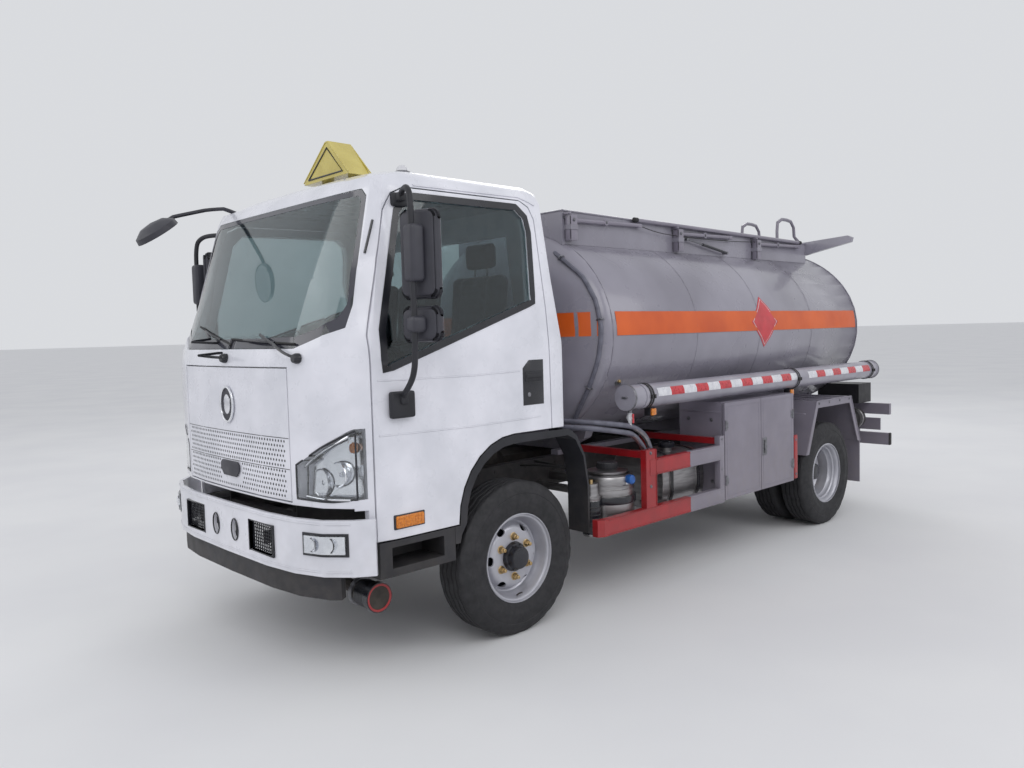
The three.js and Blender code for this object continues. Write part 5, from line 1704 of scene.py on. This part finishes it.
def side_guard(word, side):
    """One side guard's grey length, lips, end plates and bolts."""
    x = 1040
    grey = Form(side).use("guard")
    grey.plate([(1400, 417), (1790, 417), (1790, 515), (1400, 515)], x - 42, x + 1.6, "X", 1)
    grey.plate([(1400, 703), (1790, 703), (1790, 801), (1400, 801)], x - 38, x + 1.6, "X", 1)
    grey.plate([(1739, 479), (1791, 479), (1791, 861), (1739, 861)], x - 41, x + 0.6, "X", 1)
    grey.done(f"{word}_guard_grey_rails", "chassis", "guard_paint")
    lips = Form(side)
    for name, ya, yb in (("red", 600, 1400), ("guard", 1402, 1786)):
        lips.use(name)
        for z in (424, 508):
            lips.tube([(x + 0.5, ya, z), (x + 0.5, yb, z)], 3.6, 8, 1)
    for name, ya, yb in (("red", 1058, 1400), ("guard", 1402, 1736)):
        lips.use(name)
        for z in (710, 794):
            lips.tube([(x + 0.5, ya, z), (x + 0.5, yb, z)], 3.6, 8, 1)
    lips.use("red").tube([(x - 1, 953, 520), (x - 1, 953, 856)], 3.6, 8, 1)
    lips.tube([(x - 1, 1051, 520), (x - 1, 1051, 856)], 3.6, 8, 1)
    lips.done(f"{word}_guard_lips", "chassis", "guard_red")
    plates = Form(side).use("red")
    plates.block(x - 24, x - 4, 2742, 2792, 436, 760, 2)
    half = [(2742 + 70 * sin(t), 900 + 70 * cos(t)) for t in [pi * i / 16 for i in range(17)]]
    plates.plate(half, x - 60, x - 50, "X", 2)
    plates.use("zinc").bolt((x - 5, 2767, 470), "X", 14, 6)
    plates.bolt((x - 5, 2767, 726), "X", 14, 6)
    plates.use("guard").block(x - 70, x - 24, 2736, 2746, 560, 940, 2)
    plates.done(f"{word}_red_end_plates", "chassis", "guard_red")
    bolts = Form(side).use("zinc")
    for y in (998, 1763):
        for z in (640, 840):
            bolts.bolt((x - 3, y, z), "X", 16, 7)
    bolts.done(f"{word}_guard_bolts", "chassis")


class TRUCK_OT_guards(bpy.types.Operator):
    """Build the side guards' grey length, folded lips, bolts and the red plates behind the lockers"""

    bl_idname = "truck.guards"
    bl_label = "Side guards"

    def execute(self, context):
        for word, side in SIDES.items():
            side_guard(word, side)
        return {"FINISHED"}


def rear_wing(word, side):
    """One rear wing's ribs and flap, and the ribs inside the front arch."""
    form = Form(side).use("guard")
    form.tube([(1040, 2927, 588), (1040, 3091, 984), (1040, 3684, 984), (1040, 3852, 604)], 5, 8, 1)
    for y in (3200, 3390, 3580):
        form.block(560, 1036, y - 12, y + 12, 983, 990, 2)
    form.block(560, 1030, 2924 - 12, 2934, 900, 906, 1)
    form.use("zinc")
    for y in (3130, 3300, 3480, 3650):
        form.bolt((1040, y, 966), "X", 14, 6)
    form.done(f"{word}_wing_ribs", "chassis", "guard_paint")
    flap = Form(side).use("rubber")
    for k in range(9):
        x = 575 + 52 * k
        flap.block(x, x + 22, 3863.5, 3868, 262, 600, 2)
    flap.block(556, 1032, 3863, 3870, 603, 636, 2)
    flap.use("zinc")
    for k in range(5):
        flap.bolt((600 + 98 * k, 3869, 620), "Y", 14, 7)
    flap.done(f"{word}_mud_flap_ribs", "chassis", "rubber")
    front = Form(side).use("rubber")
    for k in range(8):
        z = 452 + 70 * k
        if z < 700:
            front.block(800, 935, 552, 556, z, z + 40, 1.5)
    front.done(f"{word}_arch_ribs", "cab", "black_plastic")


class TRUCK_OT_fenders(bpy.types.Operator):
    """Build the rear wings' stiffening ribs, bolts and rubber mud flaps"""

    bl_idname = "truck.fenders"
    bl_label = "Rear wings"

    def execute(self, context):
        for word, side in SIDES.items():
            rear_wing(word, side)
        return {"FINISHED"}


def small_tanks():
    """The small tanks' fittings, the drier, hoses and batteries."""
    form = Form()
    c = (825, 850, 0)
    form.use("trim").lathe([(166.4, 556), (169, 560), (169, 596), (166.4, 600)], c, "Z", 56)
    form.use("aluminium").lathe([(160.4, 640), (163, 643), (160.4, 646)], c, "Z", 56)
    form.lathe([(160.4, 664), (163, 667), (160.4, 670)], c, "Z", 56)
    form.lathe([(160, 690), (160.6, 700), (152, 716.5), (128, 722)], c, "Z", 56)
    form.use("plastic").lathe([(61, 741), (63, 744), (63, 784), (56, 787), (0, 788)], c, "Z", 32)
    for a, b in around(24):
        x, y = c[0] + 62 * a, c[1] + 62 * b
        form.block(x - 2, x + 2, y - 2, y + 2, 746, 780, 1)
    form.use("blue").lathe(
        [(0, 196), (20, 196), (27, 190), (27, 160), (22, 150)], (825, 850, 700), "X", 20,
    )
    form.use("nylon").block(980, 990, 830, 870, 670, 690, 2)
    form.done("urea_tank_fittings", "chassis", "bare_aluminium")
    drier = Form()
    d = (868, 650, 0)
    drier.use("trim").lathe([(0, 387), (46, 387), (54.6, 402), (54.6, 590), (50, 600)], d, "Z", 32)
    for k in range(7):
        drier.use("plastic").lathe(
            [(54.6, 420 + 22 * k), (56.6, 424 + 22 * k), (54.6, 428 + 22 * k)], d, "Z", 32,
        )
    drier.use("brass").lathe([(0, 386), (22, 386), (26, 390), (26, 402)], d, "Z", 6)
    drier.use("aluminium").lathe(
        [(54.6, 596), (56, 600), (56, 612), (44, 622), (43, 660), (36, 690), (0, 692)], d, "Z", 32,
    )
    drier.tube([(840, 640, 668), (800, 640, 672), (770, 642, 690)], 13, 12, 4)
    drier.use("brass").lathe([(0, 0), (14, 0), (14, 22), (0, 22)], (868, 650, 690), "Z", 6)
    drier.use("rubber").tube(
        [(868, 690, 650), (840, 720, 700), (700, 720, 740), (520, 700, 760), (380, 690, 770)], 9, 8, 6,
    )
    drier.tube([(850, 640, 692), (760, 620, 760), (600, 560, 780), (420, 520, 770)], 8, 8, 6)
    drier.done("air_drier_fittings", "chassis", "bare_aluminium")
    fuel = Form().use("trim")
    fuel.lathe([(40, 800), (52, 802), (54, 812), (54, 828), (48, 834), (0, 836)], (800, 1480, 0), "Z", 32)
    fuel.block(770, 830, 1472, 1488, 832, 842, 4)
    square = lambda v: copysign(abs(v) ** 0.55, v)
    shape = [(206 * square(cos(pi * i / 24)), 182 * square(sin(pi * i / 24))) for i in range(49)]
    for y in (1344, 1634):
        fuel.use("rubber").tube([(725 + u, y + 14, 608 + v) for u, v in shape], 4.5, 6, 1, ends=False)
        points = [
            (725 + u * grow, across, 608 + v * grow)
            for grow in (1, 1.008) for u, v in shape for across in (y + 2, y + 30)
        ]
        row = 2 * len(shape)
        corners = range(row, 2 * row - 2, 2)
        fuel.use("trim").take(points, [[a, a + 1, a + 3, a + 2] for a in corners])
    lip = [((725 + u * 0.965) * 0.996 + 2.9, 1272, 608 + v * 0.965) for u, v in shape]
    fuel.use("aluminium").tube(lip, 4, 6, 1, ends=False)
    fuel.done("fuel_tank_fittings", "chassis", "bare_aluminium")
    hoses = Form().use("hose")
    hoses.tube([
        (380, 640, 985), (
            620, 560, 1012,
        ), (850, 640, 1012), (950, 843, 976), (950, 945, 947), (950, 1021, 885),
        (950, 1059, 832), (950, 1072, 769), (950, 1072, 640), (950, 1072, 516),
    ], 15.8, 14, 6)
    hoses.tube([
        (
            380, 700, 1015,
        ), (640, 615, 1044), (860, 690, 1040), (950, 844, 1017), (950, 966, 987), (950, 1061, 929),
        (950, 1109, 850), (950, 1132, 773), (950, 1130, 640), (950, 1130, 516),
    ], 15.8, 14, 6)
    for y in (1072, 1130):
        hoses.use("zinc").lathe(
            [(16, 530), (18.5, 530), (18.5, 542), (16, 542)], (950, y, 0), "Z", 18,
        )
    hoses.done("grey_hose_covers", "chassis", "rubber")
    clips = Form().use("zinc")
    for x, y, z, turn in ((547, 784, 2023, 50), (828, 810, 1640, 80), (735, 802, 1231, 120)):
        clips.block(x - 19, x + 19, y - 17, y + 20, z - 5, z + 5, 3, (turn - 90, "Y"))
    clips.done("breather_clips", "chassis", "bare_aluminium")
    battery = Form(-1).use("plastic")
    for k in range(2):
        battery.block(652, 988, 716 + 215 * k, 922 + 215 * k, 801, 818, 6)
        for i in range(6):
            battery.use("trim").lathe(
                [(0, 5), (11, 5), (13, 0)], (690 + 50 * i, 820 + 215 * k, 817), "Z", 14,
            )
        battery.use("plastic")
    for z in (500, 600, 700):
        battery.block(998, 1003, 720, 1130, z, z + 16, 2)
    battery.use("zinc").tube([(700, 1235, 540), (700, 1706, 540)], 2, 6, 1)
    for z in (540, 740):
        for y in (1330, 1600):
            battery.lathe([(92.6, y), (94.5, y), (94.5, y + 26), (92.6, y + 26)], (700, 0, z), "Y", 32)
    battery.done("battery_and_air_fittings", "chassis", "black_plastic")


class TRUCK_OT_small_tanks(bpy.types.Operator):
    """Build the small tanks' straps, caps and seams, the air drier, the hoses and the batteries"""

    bl_idname = "truck.small_tanks"
    bl_label = "Small tanks and batteries"

    def execute(self, context):
        small_tanks()
        return {"FINISHED"}


# ---- Rear and underneath ------------------------------------------------------------------------
def rear_side(word, side):
    """The lamps, tape and bar cap at one rear corner."""
    form = Form(side)
    form.use("trim").block(590, 950, 4411, 4420, 640, 724, 8)
    for name, x0, x1 in (("ruby", 600, 700), ("amber", 706, 800), ("ruby", 806, 870), ("lens", 876, 940)):
        form.use(name).block(x0, x1, 4418, 4432, 648, 716, 8)
        for k in range(int((x1 - x0) / 12) - 1):
            form.block(x0 + 8 + 12 * k, x0 + 14 + 12 * k, 4430, 4434, 654, 710, 1.2)
    form.done(f"{word}_rear_lamps", "chassis", "lamp_red")
    tape = Form(side)
    for k in range(10):
        tape.use("tape_red" if k % 2 else "tape_white").block(
            60 + 96 * k, 154 + 96 * k, 4440.2, 4441.2, 512, 592, 0.3,
        )
    tape.done(f"{word}_rear_tape", "chassis", "white_strip")
    ends = Form(side).use("rubber")
    ends.block(1046, 1064, 4402, 4442, 498, 606, 6)
    ends.done(f"{word}_underrun_cap", "chassis", "rubber")


class TRUCK_OT_rear(bpy.types.Operator):
    """Build the rear lamps, reflective tape, plate blank, cabinet doors, outlet and the drum's bands"""

    bl_idname = "truck.rear"
    bl_label = "Rear"

    def execute(self, context):
        for word, side in SIDES.items():
            rear_side(word, side)
        plate = Form().use("aluminium")
        plate.block(-230, 210, 4413, 4417, 636, 776, 6)
        plate.use("zinc")
        for x in (-200, 180):
            for z in (656, 756):
                plate.bolt((x, 4417, z), "Y", 10, 4)
        plate.done("rear_plate_blank", "chassis", "bare_aluminium")
        cab = Form()
        x0, x1, y1, z0, z1 = 528, 899, 4396, 880, 1048
        cab.use("chassis").block(x0 + 12, x1 - 12, y1, y1 + 8, z0 + 12, z1 - 12, 3)
        cab.use("zinc").block(690, 740, y1 + 8, y1 + 16, 950, 980, 3)
        for x in (580, 840):
            cab.lathe([(0, -20), (6, -20), (6, 20), (0, 20)], (x, y1 + 8, z1 - 18), "X", 12)
        cab.use("aluminium")
        for y in (3950, 4050, 4240):
            cab.lathe([(84.5, y), (88, y + 3), (88, y + 17), (84.5, y + 20)], (812, 0, 740), "Y", 40)
        cab.use("zinc").lathe([(0, 4304), (60, 4304), (66, 4300), (66, 4296)], (812, 0, 740), "Y", 40)
        cab.done("rear_cabinet_fittings", "chassis", "black_plastic")
        head = Form().use("tank")
        head.lathe([(0, 4384), (150, 4380), (190, 4374), (200, 4366)], (-420, 0, 1700), "Y", 48)
        head.use("zinc")
        for c, s in around(12):
            head.bolt((-420 + 172 * c, 4376, 1700 + 172 * s), "Y", 18, 9)
        head.done("rear_inspection_cover", "chassis", "tank_paint")
        return {"FINISHED"}


def underneath():
    """The rivets, lines, engine ribs, brake chambers and arrestor."""
    rivets = Form().use("chassis")
    for side in (1, -1):
        for k in range(40):
            for z in (636, 744):
                rivets.lathe(
                    [(0, side * 6), (7, side * 5), (10, 0)], (side * 375, -820 + 130 * k, z), "X", 10,
                )
    rivets.done("frame_rivets", "chassis", "chassis_paint")
    lines = Form().use("rubber")
    for side, z in ((1, 700), (-1, 690)):
        lines.tube([(side * 300, -700, z), (side * 296, 600, z - 20), (side * 300, 2000, z), (
            side * 296, 3200, z - 30,
        ), (side * 240, 3290, 470)], 7, 8, 5)
        lines.tube(
            [(side * 284, -700, z + 24), (side * 280, 900, z), (side * 284, 4100, z + 20)], 5, 8, 5,
        )
    lines.done("air_lines", "chassis", "rubber")
    engine = Form().use("iron")
    for k in range(8):
        y = -410 + 106 * k
        for x in (258, -276):
            engine.block(x, x + 18, y, y + 22, 540, 980, 5)
    engine.block(-150, 150, -400, 420, 1024, 1052, 14)
    engine.use("aluminium").lathe(
        [(0, -452), (90, -452), (96, -446), (96, -430), (60, -426)], (0, 0, 700), "Y", 32,
    )
    engine.use("rubber").tube([(120, -446, 640), (160, -520, 700), (200, -620, 720)], 26, 12, 5)
    engine.use("zinc")
    for c, s in around(10):
        engine.bolt((196 * c, 470, 700 + 196 * s), "Y", 16, 8, -1)
    engine.done("engine_ribs", "chassis", "cast_iron")
    brakes = Form()
    chamber = [(0, -70), (62, -62), (72, -40), (76, 0), (72, 40), (58, 66), (0, 70)]
    for side in (1, -1):
        brakes.use("chassis").lathe(chamber, (side * 440, 3130, 470), "Y", 28)
        brakes.use("zinc").lathe(
            [(77, -6), (82, -6), (82, 6), (77, 6)], (side * 440, 3130, 470), "Y", 28,
        )
        for y, low, high in ((0, 300, 440), (3300, 392, 520)):
            for k in (-34, 34):
                brakes.tube([(side * 384, y + k, low), (side * 384, y + k, high)], 8, 8, 1)
    brakes.done("brake_chambers_and_clamps", "chassis", "chassis_paint")
    x1 = span("exhaust")[1]
    pipe = Form()
    for used, profile in (
        ("trim", [(52.4, 722), (62.4, 728), (62.4, 812), (58, 815)]),
        *(("trim", [(62.4, x), (64.6, x + 3), (62.4, x + 6)]) for x in range(734, 806, 12)),
        ("trim", [(58, 815), (70.5, 817), (70.5, x1 + 0.6), (58, x1 + 0.8), (52, 846), (52, 830)]),
        ("red", [(60, x1 + 0.8), (66, x1 + 2), (56, x1 + 2), (53, x1 - 3)]),
        ("zinc", [(31, 640), (33, 644), (33, 688), (67, 690), (67, 712), (54, 714)]),
    ):
        pipe.use(used).lathe(profile, (0, -820, 372), "X", 40)
    for c, s in around(4, 45):
        pipe.bolt((713, -820 + 58 * c, 372 + 58 * s), "X", 12, 7)
    pipe.done("exhaust_arrestor", "chassis", "cast_iron")


class TRUCK_OT_underneath(bpy.types.Operator):
    """Build the frame's rivets, air lines, engine ribs, brake chambers and the exhaust's arrestor"""

    bl_idname = "truck.underneath"
    bl_label = "Underneath"

    def execute(self, context):
        underneath()
        return {"FINISHED"}


# ---- Stage --------------------------------------------------------------------------------------
class TRUCK_OT_stage(bpy.types.Operator):
    """Build the floor, the soft studio light and the camera"""

    bl_idname = "truck.stage"
    bl_label = "Stage"

    def execute(self, context):
        scene = context.scene
        small = bmesh.new()
        bmesh.ops.create_grid(small, x_segments=2, y_segments=2, size=400)
        made, tree, shader, place = blank("pale_sealed_concrete")
        tree.links.new(
            blended(tree, mottled(tree, place, 1500, 0, 1), linear("#E2E2E3"), linear("#DDDDDF")),
            shader.inputs["Base Color"],
        )
        shader.inputs["Roughness"].default_value = 0.85
        floor = shown("studio_floor", small)
        floor.data.materials.append(made)
        world = bpy.data.worlds.new("studio")
        scene.world = world
        world.use_nodes = True
        sky = world.node_tree.nodes["Background"]
        sky.inputs["Color"].default_value = linear("#F0F2F6")
        sky.inputs["Strength"].default_value = 0.8
        for name, place, aim, size, power in (
            ("key_light", (7.5, -7.0, 8.5), (0.3, -1.0, 1.2), 7.0, 260),
            ("side_light", (9.5, 2.5, 7.0), (0.5, 0.5, 1.2), 6.0, 160),
            ("front_light", (-5.0, -9.5, 6.0), (0, -2.0, 1.2), 6.0, 120),
            ("back_light", (-7.0, 8.0, 7.0), (0, 1.0, 1.5), 6.0, 200),
        ):
            data = bpy.data.lights.new(name, "AREA")
            data.shape, data.size, data.energy = "DISK", size, power
            lamp = bpy.data.objects.new(name, data)
            scene.collection.objects.link(lamp)
            lamp.location = place
            lamp.rotation_mode = "QUATERNION"
            lamp.rotation_quaternion = (Vector(aim) - Vector(place)).to_track_quat("-Z", "Y")
        yaw, pitch, roll = -0.8139, -0.0628, -0.0272
        ahead = Vector((sin(yaw) * cos(pitch), cos(yaw) * cos(pitch), sin(pitch)))
        right = Vector((cos(yaw), -sin(yaw), 0))
        up = right.cross(ahead)
        c, s = cos(roll), sin(roll)
        right, up = right * c + up * s, up * c - right * s
        data = bpy.data.cameras.new("camera")
        data.lens, data.sensor_width = 28.82, 36
        camera = bpy.data.objects.new("camera", data)
        scene.collection.objects.link(camera)
        camera.matrix_world = Matrix((
            (right.x, up.x, -ahead.x, 3.991), (
                right.y, up.y, -ahead.y, -4.479,
            ), (right.z, up.z, -ahead.z, 1.577),
            (0, 0, 0, 1),
        ))
        scene.camera = camera
        scene.view_settings.view_transform = "Standard"
        return {"FINISHED"}


PIECES = (
    TRUCK_OT_frame_finishes, TRUCK_OT_wheels, TRUCK_OT_front, TRUCK_OT_screen, TRUCK_OT_doors,
    TRUCK_OT_lamps, TRUCK_OT_bumper, TRUCK_OT_mirrors, TRUCK_OT_cab_inside, TRUCK_OT_roof, TRUCK_OT_tank,
    TRUCK_OT_walkway, TRUCK_OT_hose_tubes, TRUCK_OT_lockers, TRUCK_OT_guards, TRUCK_OT_fenders,
    TRUCK_OT_small_tanks, TRUCK_OT_rear, TRUCK_OT_underneath, TRUCK_OT_stage,
)


class TRUCK_PT_pieces(bpy.types.Panel):
    """The truck's pieces and the sizes they are built to"""

    bl_label = "Tanker truck"
    bl_idname = "TRUCK_PT_pieces"
    bl_space_type = "VIEW_3D"
    bl_region_type = "UI"
    bl_category = "Truck"

    def draw(self, context):
        sizes = context.scene.truck_sizes
        for name in TruckSizes.__annotations__:
            self.layout.prop(sizes, name)
        for piece in PIECES:
            self.layout.operator(piece.bl_idname)


CLASSES = (TruckSizes, *PIECES, TRUCK_PT_pieces)


def register():
    for each in CLASSES:
        bpy.utils.register_class(each)
    bpy.types.Scene.truck_sizes = bpy.props.PointerProperty(type=TruckSizes)


def unregister():
    del bpy.types.Scene.truck_sizes
    for each in reversed(CLASSES):
        bpy.utils.unregister_class(each)


def main():
    register()
    for piece in PIECES:
        group, name = piece.bl_idname.split(".")
        getattr(getattr(bpy.ops, group), name)()


if __name__ == "__main__":
    main()
